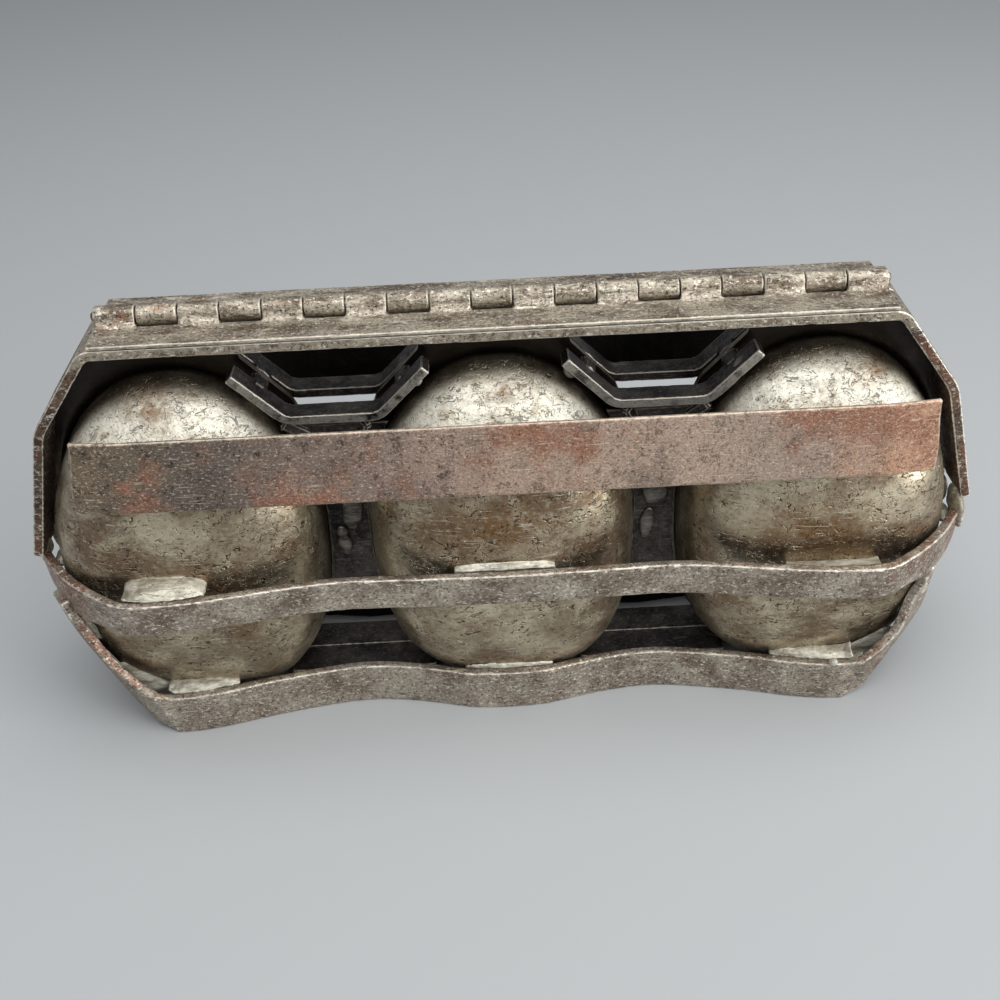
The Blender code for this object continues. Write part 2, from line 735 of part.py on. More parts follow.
def bead_ring(x, egg_x, heights, inner, thickness, swell):
    """One section of a bead that only lies along the strap's top edge, where the strap touches the shell."""
    top, climb = heights[1:]
    rest = top + FIT
    peak = rest + climb * swell
    lap = inner + thickness * 0.7 * swell
    ring = [(lap, rest)]
    for height in (rest, (rest + peak) / 2, peak):
        ring.append((egg_depth(x - egg_x, height) + SHELL_HUG, height))
    ring.append(((lap + ring[-1][0]) / 2, rest + climb * 0.72 * swell))
    return [Vector((x, -depth, height)) for depth, height in ring]


def solder_fillet(name, egg_x, span, heights, strap, half, pivots):
    """Solder between a strap and a shell, along the strap's top edge and behind it where there is room."""
    inner, thickness = strap
    room = inner((span[0] + span[1]) / 2) - egg_depth(0, heights[1])
    draw = fillet_ring if room > ROOM_BEHIND else bead_ring
    sections = []
    for k in range(SOLDER_STATIONS):
        share = k / (SOLDER_STATIONS - 1)
        x = span[0] + (span[1] - span[0]) * share
        swell = 0.35 + 0.65 * math.sin(math.pi * share)
        sections.append(draw(x, egg_x, heights, inner(x), thickness, swell))
    add_part(name, swept(sections), half, "solder", pivots)


def solder_fillets(half, pivots):
    """The fillets that hold the three straps of one half to its shells."""
    crown = strap_inner(crown_path(half), half.crown_thickness)
    middle = strap_inner(middle_path(), BAR + MIDDLE_LEAN * 0.4)
    foot = strap_inner(smooth_path(both_ways(bottom_run(half)), 2), BAR)
    crown_heights = (CROWN_TOP - 9 * MM, CROWN_TOP - 3.2 * MM, 2.2 * MM)
    straps = (
        ("crown", 22 * MM, (0.0, 0.0, 0.0), crown_heights, (crown, -0.9 * MM)),
        ("middle", 14 * MM, (-4 * MM, 0.0, 0.0), (MIDDLE_TOP - 4 * MM, MIDDLE_TOP, 3.0 * MM), (middle, BAR)),
        ("bottom", 11 * MM, (-1 * MM, 0.0, 1 * MM), (11 * MM, BOTTOM_WIDTH, 2.6 * MM), (foot, BAR)),
    )
    for strap, reach, shifts, heights, face in straps:
        for (place, where), shift in zip(PLACES, shifts):
            egg_x = place * EGG_PITCH
            span = (egg_x + shift - reach, egg_x + shift + reach)
            solder_fillet(f"{half.name}_{strap}_solder_{where}", egg_x, span, heights, face, half, pivots)


def make_pivots():
    """One empty on the hinge axis for each half, which its pieces are parented to."""
    pivots = {}
    for half in (FRONT, REAR):
        pivot = bpy.data.objects.new(half.name + "_half", None)
        pivot.location = (0, 0, PIN_HEIGHT)
        bpy.data.collections["chocolate_mould"].objects.link(pivot)
        pivots[half.name] = pivot
    bpy.context.view_layer.update()
    return pivots


def build():
    """Makes both halves and the pin."""
    clear_scene()
    make_collection("chocolate_mould")
    make_collection("cutters", hidden=True)
    pivots = make_pivots()
    for half in (FRONT, REAR):
        for place, where in PLACES:
            shell(f"{half.name}_egg_shell_{where}", place, half, pivots)
        frame_band(half, pivots)
        crown_strap(half, pivots)
        middle_strap(half, pivots)
        bottom_strap(half, pivots)
        for side in (-1, 1):
            top_tie(side, half, pivots)
            low_tie(side, half, pivots)
            web(side, half, pivots)
        hinge_leaf(half, pivots)
        solder_fillets(half, pivots)
    hinge_pin(pivots)


build()
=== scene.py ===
"""Looks of the hinged chocolate mould: worn tinned shells in a rusty bar frame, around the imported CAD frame.

Every visible piece is made again from its CAD node, finer and with the dents, chips and lumps of an old tool,
and dressed in a procedural finish. Lengths are in metres unless a name says otherwise.
"""

import json
import logging
import math
from dataclasses import dataclass
from enum import Enum
from functools import reduce
from itertools import pairwise, product
from typing import Callable, NamedTuple

import bmesh
import bpy
import numpy as np
from mathutils import Matrix, Vector
from mathutils.bvhtree import BVHTree

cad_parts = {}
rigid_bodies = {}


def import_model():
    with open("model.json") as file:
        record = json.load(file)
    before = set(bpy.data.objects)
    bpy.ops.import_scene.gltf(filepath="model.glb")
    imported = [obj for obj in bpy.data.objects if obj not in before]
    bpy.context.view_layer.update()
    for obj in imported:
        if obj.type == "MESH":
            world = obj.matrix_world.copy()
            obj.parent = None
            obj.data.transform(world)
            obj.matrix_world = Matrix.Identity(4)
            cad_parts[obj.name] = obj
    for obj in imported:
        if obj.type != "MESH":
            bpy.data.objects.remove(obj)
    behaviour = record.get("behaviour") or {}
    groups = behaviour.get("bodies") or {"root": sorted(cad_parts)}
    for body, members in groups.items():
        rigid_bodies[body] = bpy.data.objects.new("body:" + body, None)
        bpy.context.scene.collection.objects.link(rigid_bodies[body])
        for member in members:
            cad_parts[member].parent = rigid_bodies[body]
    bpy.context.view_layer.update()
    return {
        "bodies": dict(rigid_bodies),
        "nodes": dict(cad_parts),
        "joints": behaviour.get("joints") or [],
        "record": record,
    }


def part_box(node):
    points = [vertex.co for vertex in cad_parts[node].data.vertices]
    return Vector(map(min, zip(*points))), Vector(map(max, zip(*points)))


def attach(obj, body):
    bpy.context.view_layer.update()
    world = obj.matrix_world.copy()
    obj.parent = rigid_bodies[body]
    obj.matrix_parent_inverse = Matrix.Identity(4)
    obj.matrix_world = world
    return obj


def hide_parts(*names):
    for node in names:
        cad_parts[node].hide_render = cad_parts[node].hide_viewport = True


LOG = logging.getLogger("chocolate_mould")
MM = 0.001

Array = np.ndarray
Colour = tuple[float, float, float, float]
Point = tuple[float, float, float]
Span = tuple[float, float]
Mesh = bpy.types.Mesh
Socket = bpy.types.NodeSocket
Tree = bpy.types.NodeTree

# Fitted view of the photograph
CAMERA_PLACE = (-0.0036, -0.353, 0.3139)
CAMERA_PITCH = math.radians(55.16)
CAMERA_YAW = math.radians(-0.53)
CAMERA_ROLL = math.radians(-2.65)
CAMERA_LENS_MM = 45.74
SENSOR_MM = 36.0

# Egg form, as the CAD shells have it
EGG_PITCH = 103.0 * MM
EGG_HALF_WIDTH = 44.0 * MM
EGG_DEPTH = 33.2 * MM
EGG_CENTRE_HEIGHT = 65.4 * MM
EGG_RISE = 59.8 * MM
EGG_FALL = 63.6 * MM
EGG_TOP_FULLNESS = 2.0
EGG_LOW_FULLNESS = 2.6
EGG_SECTION_FULLNESS = 2.8
PARTING = 0.2 * MM
SHELL_WALL = 1.0 * MM
RIM_WIDTH = 0.9 * MM


class Half(Enum):
    """The two halves, by the sign of Y on their outer side."""

    FRONT = -1
    REAR = 1

    @property
    def prefix(self) -> str:
        """First word of the names of the half's nodes."""
        return self.name.lower()

    @property
    def body(self) -> str:
        """Name of the half's CAD body."""
        return f"{self.prefix}_half"

    @property
    def sign(self) -> int:
        """Sign of Y on the half's outer side."""
        return self.value


class Place(Enum):
    """The three eggs, by name and place along the hinge."""

    LEFT = -1
    MIDDLE = 0
    RIGHT = 1

    @property
    def side(self) -> str:
        """Last word of the names of the egg's nodes."""
        return self.name.lower()

    @property
    def centre(self) -> float:
        """X of the egg's middle."""
        return self.value * EGG_PITCH


def srgb(red: int, green: int, blue: int) -> Colour:
    """A colour as a screen shows it, made linear.

    Args:
        red, green, blue: Screen values from 0 to 255.

    Returns:
        Linear red, green, blue and an alpha of 1.
    """
    shares = (value / 255 for value in (red, green, blue))
    linear = (share / 12.92 if share <= 0.04045 else ((share + 0.055) / 1.055) ** 2.4 for share in shares)
    return (*linear, 1.0)


class Grain:
    """Smooth random values in space, the same on every run."""

    TABLE_SIZE = 256
    OCTAVE_SHIFT = 17.3

    def __init__(self, seed: int) -> None:
        """Draws the gradients.

        Args:
            seed: Fixes the field.
        """
        chance = np.random.default_rng(seed)
        self.table = chance.permutation(self.TABLE_SIZE)
        arrows = chance.normal(size=(self.TABLE_SIZE, 3))
        self.arrows = arrows / np.linalg.norm(arrows, axis=1, keepdims=True)

    def plain(self, points: Array) -> Array:
        """One octave of gradient noise.

        Args:
            points: Places, N by 3, where one unit is one cell.

        Returns:
            N values, mostly between -0.6 and 0.6.
        """
        cell = np.floor(points).astype(int)
        inside = points - cell
        fade = inside**3 * (inside * (inside * 6 - 15) + 10)
        total = np.zeros(len(points))
        for corner in product((0, 1), repeat=3):
            at = (cell + corner) % self.TABLE_SIZE
            key = self.table[(self.table[at[:, 0]] + at[:, 1]) % self.TABLE_SIZE]
            key = self.table[(key + at[:, 2]) % self.TABLE_SIZE]
            weight = np.prod(np.where(np.array(corner) == 1, fade, 1 - fade), axis=1)
            total += weight * np.einsum("ij,ij->i", self.arrows[key], inside - corner)
        return total

    def field(self, points: Array, size: float, octaves: int = 3) -> Array:
        """Several octaves of noise.

        Args:
            points: Places in metres, N by 3.
            size: Size of the largest lumps, in metres.
            octaves: How many times the detail is halved.

        Returns:
            N values, mostly between -1 and 1.
        """
        total = np.zeros(len(points))
        for k in range(octaves):
            total += self.plain(points * (2**k / size) + self.OCTAVE_SHIFT * k) / 2**k
        return total


def vectors_of(vertices: bpy.types.MeshVertices, name: str) -> Array:
    """The places or the normals of all vertices, N by 3.

    Args:
        vertices: A mesh's vertices.
        name: "co" for their places or "normal" for their normals.

    Returns:
        One row of three numbers for each vertex.
    """
    flat = np.zeros(len(vertices) * 3)
    vertices.foreach_get(name, flat)
    return flat.reshape(-1, 3)


def points_of(mesh: Mesh) -> Array:
    """The mesh's vertex places, N by 3."""
    return vectors_of(mesh.vertices, "co")


def normals_of(mesh: Mesh) -> Array:
    """The mesh's vertex normals, N by 3."""
    return vectors_of(mesh.vertices, "normal")


def move_points(mesh: Mesh, points: Array) -> None:
    """Gives the mesh's vertices new places."""
    mesh.vertices.foreach_set("co", points.astype(np.float32).ravel())
    mesh.update()


def set_values(mesh: Mesh, **values: Array) -> None:
    """Stores numbers for each vertex under their names, for the finishes to read.

    Args:
        mesh: The mesh that keeps them.
        values: Under each name, one number for each vertex.
    """
    for name, numbers in values.items():
        layer = mesh.attributes.get(name) or mesh.attributes.new(name, "FLOAT", "POINT")
        layer.data.foreach_set("value", numbers.astype(np.float32))


def smooth_step(values: Array, low: float, high: float) -> Array:
    """Rises smoothly from 0 at low to 1 at high; low may be the larger."""
    share = np.clip((values - low) / (high - low), 0, 1)
    return share * share * (3 - 2 * share)


def step_mm(values: Array, low: float, high: float) -> Array:
    """Rises smoothly from 0 to 1 between two lengths in millimetres."""
    return smooth_step(values, low * MM, high * MM)


def edge_sharpness(mesh: Mesh, radius: float) -> Array:
    """How strongly the surface bends at each vertex.

    Args:
        mesh: A fine, even mesh.
        radius: The radius of a bend that counts as a full edge.

    Returns:
        For each vertex a value from -1, in a sharp groove, to 1, on a sharp edge.
    """
    points, normals = points_of(mesh), normals_of(mesh)
    pairs = np.zeros(len(mesh.edges) * 2, dtype=np.int32)
    mesh.edges.foreach_get("vertices", pairs)
    one, two = pairs.reshape(-1, 2).T
    count = len(points)
    neighbours = np.maximum(np.bincount(pairs, minlength=count), 1)
    along = points[two] - points[one]
    square = np.maximum(np.einsum("ij,ij->i", along, along), 1e-12)
    first = -np.einsum("ij,ij->i", along, normals[one]) / square
    second = np.einsum("ij,ij->i", along, normals[two]) / square
    bend = (np.bincount(one, first, count) + np.bincount(two, second, count)) / neighbours
    for _ in range(2):
        spread = np.bincount(one, bend[two], count) + np.bincount(two, bend[one], count)
        bend = (bend + spread / neighbours) / 2
    return np.clip(bend * radius * 2, -1, 1)


@dataclass(frozen=True)
class Skin:
    """How a surface was made and has worn: sizes and depths of its unevenness."""

    voxel: float = 0.5 * MM
    wave: float = 0.18 * MM
    wave_size: float = 22 * MM
    pits: float = 0.05 * MM
    pit_size: float = 2.2 * MM
    chips: float = 0.35 * MM
    chip_size: float = 4.0 * MM
    edge_radius: float = 0.7 * MM


def mesh_from(bm: bmesh.types.BMesh, name: str) -> Mesh:
    """A named mesh of an edited one, which is used up.

    Args:
        bm: The edited mesh.
        name: Name of the new mesh.

    Returns:
        The new mesh.
    """
    mesh = bpy.data.meshes.new(name)
    bm.to_mesh(mesh)
    bm.free()
    return mesh


def merged_copy(name: str, *nodes: bpy.types.Object) -> Mesh:
    """One mesh of the objects' shapes, with their loose triangles joined.

    Args:
        name: Name of the new mesh.
        nodes: Objects to copy.

    Returns:
        The new mesh.
    """
    bm = bmesh.new()
    for node in nodes:
        bm.from_mesh(node.data)
    bmesh.ops.remove_doubles(bm, verts=bm.verts, dist=0.02 * MM)
    return mesh_from(bm, name)


def closed_tube(name: str, rings: list[list[Point]]) -> Mesh:
    """A tube through rings of points, capped at both ends.

    Args:
        name: Name of the new mesh.
        rings: The rings in order, with as many points in each.

    Returns:
        The new mesh, with its faces outwards.
    """
    bm = bmesh.new()
    loops = [[bm.verts.new(point) for point in ring] for ring in rings]
    for one, two in pairwise(loops):
        for k in range(len(one)):
            n = (k + 1) % len(one)
            bm.faces.new((one[k], one[n], two[n], two[k]))
    bm.faces.new(loops[0])
    bm.faces.new(loops[-1])
    bmesh.ops.recalc_face_normals(bm, faces=bm.faces)
    return mesh_from(bm, name)


def evaluated_mesh(obj: bpy.types.Object) -> Mesh:
    """A plain mesh of the object as its modifiers leave it.

    Args:
        obj: An object of the scene, which stays as it is.

    Returns:
        The new mesh.
    """
    bpy.context.view_layer.update()
    graph = bpy.context.evaluated_depsgraph_get()
    return bpy.data.meshes.new_from_object(obj.evaluated_get(graph))


def new_object(name: str, data: bpy.types.ID) -> bpy.types.Object:
    """An object of the mesh, lamp or lens, linked to the scene.

    Args:
        name: Name of the object.
        data: What it shows.

    Returns:
        The new object.
    """
    made = bpy.data.objects.new(name, data)
    bpy.context.scene.collection.objects.link(made)
    return made


def even_mesh(mesh: Mesh, voxel: float) -> Mesh:
    """Remakes a closed mesh with small even faces.

    Args:
        mesh: Closed mesh, which is used up.
        voxel: Size of the new faces.

    Returns:
        The new mesh.
    """
    shape = new_object("even_shape", mesh)
    remesh = shape.modifiers.new("even", "REMESH")
    remesh.mode = "VOXEL"
    remesh.voxel_size = voxel
    fine = evaluated_mesh(shape)
    bpy.data.objects.remove(shape)
    bpy.data.meshes.remove(mesh)
    return fine


def weather(mesh: Mesh, skin: Skin, seed: int) -> None:
    """Dents, pits and chips a fine mesh in place, and stores its edges and grooves.

    Args:
        mesh: Fine mesh.
        skin: How deep and how large the unevenness is.
        seed: Fixes the pattern.
    """
    points, normals = points_of(mesh), normals_of(mesh)
    sharp = edge_sharpness(mesh, skin.edge_radius)
    edge = np.clip(sharp, 0, 1)
    grain = Grain(seed)
    pit_shift, chip_shift = 0.31, 0.77
    shift = skin.wave * grain.field(points, skin.wave_size, 2)
    shift += skin.pits * grain.field(points + pit_shift, skin.pit_size, 3)
    nicks = smooth_step(grain.field(points + chip_shift, skin.chip_size, 3), 0.12, 0.6)
    shift -= skin.chips * edge * nicks
    move_points(mesh, points + normals * shift[:, None])
    set_values(mesh, edge=edge, groove=np.clip(-sharp, 0, 1))
    mesh.shade_smooth()


@dataclass(frozen=True)
class Dress:
    """A finished material, and the record's slot that it stands for."""

    material: bpy.types.Material
    slot: str


def wear_in(name: str, mesh: Mesh, half: Half, dress: Dress, *nodes: str) -> None:
    """Makes a finished piece of a mesh, and puts it in the place of its CAD nodes.

    Args:
        name: The piece's name.
        mesh: The finished mesh, in its place.
        half: The half that it moves with.
        dress: Its material and slot.
        nodes: CAD nodes that it replaces.
    """
    piece = new_object(name, mesh)
    mesh.materials.clear()
    mesh.materials.append(dress.material)
    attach(piece, half.body)
    if nodes:
        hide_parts(*nodes)
    LOG.info("%s: %d faces", name, len(mesh.polygons))


class Wiring:
    """Small helper that adds and joins nodes in one tree."""

    def __init__(self, tree: Tree) -> None:
        """Keeps the tree.

        Args:
            tree: A material's or a group's node tree.
        """
        self.tree = tree

    def add(self, kind: str, inputs: dict | None = None, **settings: object) -> bpy.types.Node:
        """A new node of this kind.

        Args:
            kind: Blender's name of the node type.
            inputs: A value or a socket for each input, by name or number.
            settings: The node's own settings.

        Returns:
            The node.
        """
        node = self.tree.nodes.new(kind)
        for name, value in settings.items():
            setattr(node, name, value)
        for name, value in (inputs or {}).items():
            self.feed(node.inputs[name], value)
        return node

    def feed(self, target: Socket, value: object) -> None:
        """Links a socket into the target, or sets the target's own value.

        Args:
            target: A node's input.
            value: A socket, or a plain value of the input's kind.
        """
        if isinstance(value, Socket):
            self.tree.links.new(value, target)
        else:
            target.default_value = value

    def noise(
        self, where: Socket, cells: object, detail: float = 4.0, rough: float = 0.6, **more: float
    ) -> Socket:
        """The value of a noise texture.

        Args:
            where: Coordinates.
            cells: How many cells a metre holds.
            detail, rough: How many octaves it has, and how strong the finer ones are.
            more: Its Distortion, and W where it has a seed.

        Returns:
            The noise's value.
        """
        inputs = {"Vector": where, "Scale": cells, "Detail": detail, "Roughness": rough, **more}
        space = "4D" if "W" in more else "3D"
        return self.add("ShaderNodeTexNoise", inputs, noise_dimensions=space).outputs["Fac"]

    def step(self, value: Socket, low: float, high: float) -> Socket:
        """Rises smoothly from 0 at low to 1 at high."""
        inputs = {"Value": value, "From Min": low, "From Max": high}
        return self.add("ShaderNodeMapRange", inputs, interpolation_type="SMOOTHSTEP").outputs["Result"]

    def patches(
        self, where: Socket, cells: float, low: float, high: float, detail: float = 6.0, rough: float = 0.7
    ) -> Socket:
        """Ragged patches: noise with so many cells in a metre, made 0 where it is at low and 1 at high."""
        return self.step(self.noise(where, cells, detail, rough), low, high)

    def math(self, operation: str, *values: object, clamp: bool = True) -> Socket:
        """One sum of its values, kept between 0 and 1 unless clamp is off."""
        inputs = dict(enumerate(values))
        return self.add("ShaderNodeMath", inputs, operation=operation, use_clamp=clamp).outputs[0]

    def times(self, *values: object) -> Socket:
        """All the values multiplied together."""
        return reduce(lambda one, two: self.math("MULTIPLY", one, two), values)

    def mix(self, share: object, first: object, second: object) -> Socket:
        """Two colours mixed by a share of the second."""
        return self.add("ShaderNodeMix", {0: share, 6: first, 7: second}, data_type="RGBA").outputs[2]

    def value(self, name: str) -> Socket:
        """The piece's own stored value of this name."""
        return self.add("ShaderNodeAttribute", attribute_name=name).outputs["Fac"]

    def stretched(self, where: Socket, scale: tuple[float, float, float], turn: float = 0.0) -> Socket:
        """Coordinates scaled and turned about Y, for marks that run one way."""
        inputs = {"Vector": where, "Scale": scale, "Rotation": (0, turn, 0)}
        return self.add("ShaderNodeMapping", inputs).outputs["Vector"]


class Effects:
    """The shared shader groups. Each is built once, reads coordinates at Where and puts out a Mask."""

    KINDS = {"Where": "Vector", "Dark": "Color", "Bright": "Color", "Color": "Color"}

    def __init__(self) -> None:
        """Builds every group."""
        self.speckle = self._speckle()
        self.scratches = self._scratches()
        self.rust = self._rust()
        self.edge_wear = self._edge_wear()
        self.creases = self._creases()

    def _begin(self, name: str, inputs: str, outputs: str = "Mask") -> tuple[Wiring, dict, dict]:
        """An empty shader group with named sockets.

        Args:
            name: Group name.
            inputs: Names of the inputs, with spaces between them.
            outputs: Names of the outputs, likewise.

        Returns:
            The group's wiring, and its input and output sockets by name.
        """
        tree = bpy.data.node_groups.new(name, "ShaderNodeTree")
        for way, labels in (("INPUT", inputs), ("OUTPUT", outputs)):
            for label in labels.split():
                kind = self.KINDS.get(label, "Float")
                tree.interface.new_socket(label, in_out=way, socket_type=f"NodeSocket{kind}")
        wiring = Wiring(tree)
        entry, leave = wiring.add("NodeGroupInput"), wiring.add("NodeGroupOutput")
        return wiring, dict(entry.outputs.items()), dict(leave.inputs.items())

    def _speckle(self) -> Tree:
        """Fine grains of two sizes; Amount is the share that they cover.

        Returns:
            The group.
        """
        w, entry, leave = self._begin("speckle", "Where Size Amount")
        grains = []
        for ratio, detail in ((1.0, 5.0), (0.37, 3.0)):
            cells = w.math("DIVIDE", ratio, entry["Size"], clamp=False)
            grains.append(w.noise(entry["Where"], cells, detail, 0.75))
        both = w.math("ADD", *grains, clamp=False)
        more = w.math("MULTIPLY_ADD", entry["Amount"], 0.6, both, clamp=False)
        w.feed(leave["Mask"], w.step(more, 1.26, 1.42))
        return w.tree

    def _scratches(self) -> Tree:
        """Short thin strokes in three directions, broken up by a slower noise.

        Returns:
            The group.
        """
        w, entry, leave = self._begin("scratches", "Where Amount")
        strokes = []
        for turn, seed in ((0.25, 0.0), (1.2, 3.1), (-0.7, 5.7)):
            way = w.stretched(entry["Where"], (90, 260, 2300), turn)
            strokes.append(w.step(w.noise(way, 1.0, 1.0, 0.5, W=seed), 0.66, 0.72))
        lines = reduce(lambda one, two: w.math("MAXIMUM", one, two), strokes)
        broken = w.patches(entry["Where"], 130, 0.48, 0.62, 3, 0.6)
        w.feed(leave["Mask"], w.times(lines, broken, entry["Amount"]))
        return w.tree

    def _rust(self) -> Tree:
        """Ragged rust patches, with their colour.

        Returns:
            The group.
        """
        w, entry, leave = self._begin("rust", "Where Amount Size Dark Bright", "Mask Color")
        cells = w.math("DIVIDE", 1.0, entry["Size"], clamp=False)
        patch = w.noise(entry["Where"], cells, 7.0, 0.68)
        ready = w.math("MULTIPLY_ADD", entry["Amount"], 0.5, patch, clamp=False)
        w.feed(leave["Mask"], w.step(ready, 0.72, 0.86))
        grain = w.patches(entry["Where"], 1300, 0.35, 0.7, 5)
        w.feed(leave["Color"], w.mix(grain, entry["Dark"], entry["Bright"]))
        return w.tree

    def _edge_wear(self) -> Tree:
        """Where handling has rubbed the edges bright, from the piece's stored edges.

        Returns:
            The group.
        """
        w, entry, leave = self._begin("edge_wear", "Where Edge Amount")
        ragged = w.times(w.noise(entry["Where"], 420, 5, 0.65), 0.7)
        mask = w.step(w.math("ADD", entry["Edge"], ragged, clamp=False), 0.62, 0.95)
        w.feed(leave["Mask"], w.times(mask, entry["Amount"]))
        return w.tree

    def _creases(self) -> Tree:
        """Short curling creases, like crazed tin; Size is the room between them.

        Returns:
            The group.
        """
        w, entry, leave = self._begin("creases", "Where Size Amount")
        lines = []
        for seed, ratio in ((0.0, 1.0), (4.3, 2.1)):
            cells = w.math("DIVIDE", ratio, entry["Size"], clamp=False)
            wander = w.noise(entry["Where"], cells, 2.5, 0.5, W=seed, Distortion=0.9)
            away = w.math("ABSOLUTE", w.math("SUBTRACT", wander, 0.5, clamp=False), clamp=False)
            broken = w.patches(entry["Where"], 170 * ratio, 0.52, 0.6, 4)
            lines.append(w.times(w.step(away, 0.022, 0.006), broken))
        w.feed(leave["Mask"], w.times(w.math("MAXIMUM", *lines), entry["Amount"]))
        return w.tree


class Coats:
    """Coats of colour, laid one over another in a new material."""

    def __init__(self, name: str, effects: Effects) -> None:
        """Makes the bare material.

        Args:
            name: Material name.
            effects: The shared shader groups.
        """
        self.effects = effects
        self.material = bpy.data.materials.new(name)
        self.material.use_nodes = True
        self.wiring = Wiring(self.material.node_tree)
        self.shader = self.material.node_tree.nodes["Principled BSDF"]
        self.where = self.wiring.add("ShaderNodeTexCoord").outputs["Object"]
        self.colour = None

    def lay(self, colour: object, *masks: object) -> None:
        """Lays a colour over what is there, through the product of these masks and shares."""
        self.colour = self.wiring.mix(self.wiring.times(*masks), self.colour, colour)

    def mask(self, effect: Tree, where: Socket | None = None, **inputs: object) -> Socket:
        """The mask of an effect, on the piece's own coordinates unless others are given."""
        inputs["Where"] = self.where if where is None else where
        return self.wiring.add("ShaderNodeGroup", inputs, node_tree=effect).outputs["Mask"]

    def rust(self, share: float, where: Socket, **inputs: object) -> None:
        """Lays rust over what is there.

        Args:
            share: How thick the rust is.
            where: Coordinates.
            inputs: The effect's other inputs.
        """
        rust = self.wiring.add("ShaderNodeGroup", {"Where": where, **inputs}, node_tree=self.effects.rust)
        self.lay(rust.outputs["Color"], rust.outputs["Mask"], share)

    def grit(self, share: float, dark: Colour, light: Colour, fineness: float = 1.0) -> None:
        """Breaks the colour up into fine dark and light grains.

        Args:
            share: How strong the grains are.
            dark, light: Colours of the grains.
            fineness: Multiplies how fine they are.
        """
        w = self.wiring
        self.lay(dark, w.patches(self.where, 1150 * fineness, 0.5, 0.36, 4, 0.75), share)
        flat = w.stretched(self.where, (0.7, 1, 1.2))
        self.lay(light, w.patches(flat, 900 * fineness, 0.53, 0.68, 4, 0.75), share)

    def scratch(self, colour: Colour, amount: float) -> None:
        """Scratches the surface in this colour."""
        self.lay(colour, self.mask(self.effects.scratches, Amount=amount))

    def rub(self, colour: Colour, amount: float) -> None:
        """Rubs the edges to this colour."""
        self.lay(colour, self.mask(self.effects.edge_wear, Edge=self.wiring.value("edge"), Amount=amount))

    def close(self, rough: tuple[float, float], bump: float, height: Socket) -> bpy.types.Material:
        """Joins colour, roughness and bump to the shader.

        Args:
            rough: Roughness of the smoothest and of the roughest places.
            bump: Depth of the bump, in metres.
            height: Bump height, 0 to 1.

        Returns:
            The finished material.
        """
        w, shader = self.wiring, self.shader.inputs
        w.feed(shader["Base Color"], self.colour)
        inputs = {"Value": w.noise(self.where, 230, 5, 0.7), "From Min": 0.3, "From Max": 0.7}
        uneven = w.add("ShaderNodeMapRange", {**inputs, "To Min": rough[0], "To Max": rough[1]})
        w.feed(shader["Roughness"], uneven.outputs["Result"])
        raised = w.add("ShaderNodeBump", {"Strength": 1.0, "Distance": bump, "Height": height})
        w.feed(shader["Normal"], raised.outputs["Normal"])
        return self.material


@dataclass(frozen=True, kw_only=True)
class Finish:
    """Base of the finishes: the material's name and slot, and how metallic, bumpy and rough it is."""

    name: str
    slot: str = ""
    metallic: float
    bump: float
    rough: tuple[float, float]

    def make(self, effects: Effects) -> Dress:
        """Makes the material.

        Args:
            effects: The shared shader groups.

        Returns:
            The finished material with its slot.
        """
        coats = Coats(self.name, effects)
        coats.shader.inputs["Metallic"].default_value = self.metallic
        height = self.lay_on(coats, coats.wiring)
        return Dress(coats.close(self.rough, self.bump, height), self.slot or self.name)

    def lay_on(self, coats: Coats, w: Wiring) -> Socket:
        """Lays on every coat.

        Args:
            coats: The material's coats.
            w: Its wiring.

        Returns:
            Height of the bump.
        """
        raise NotImplementedError


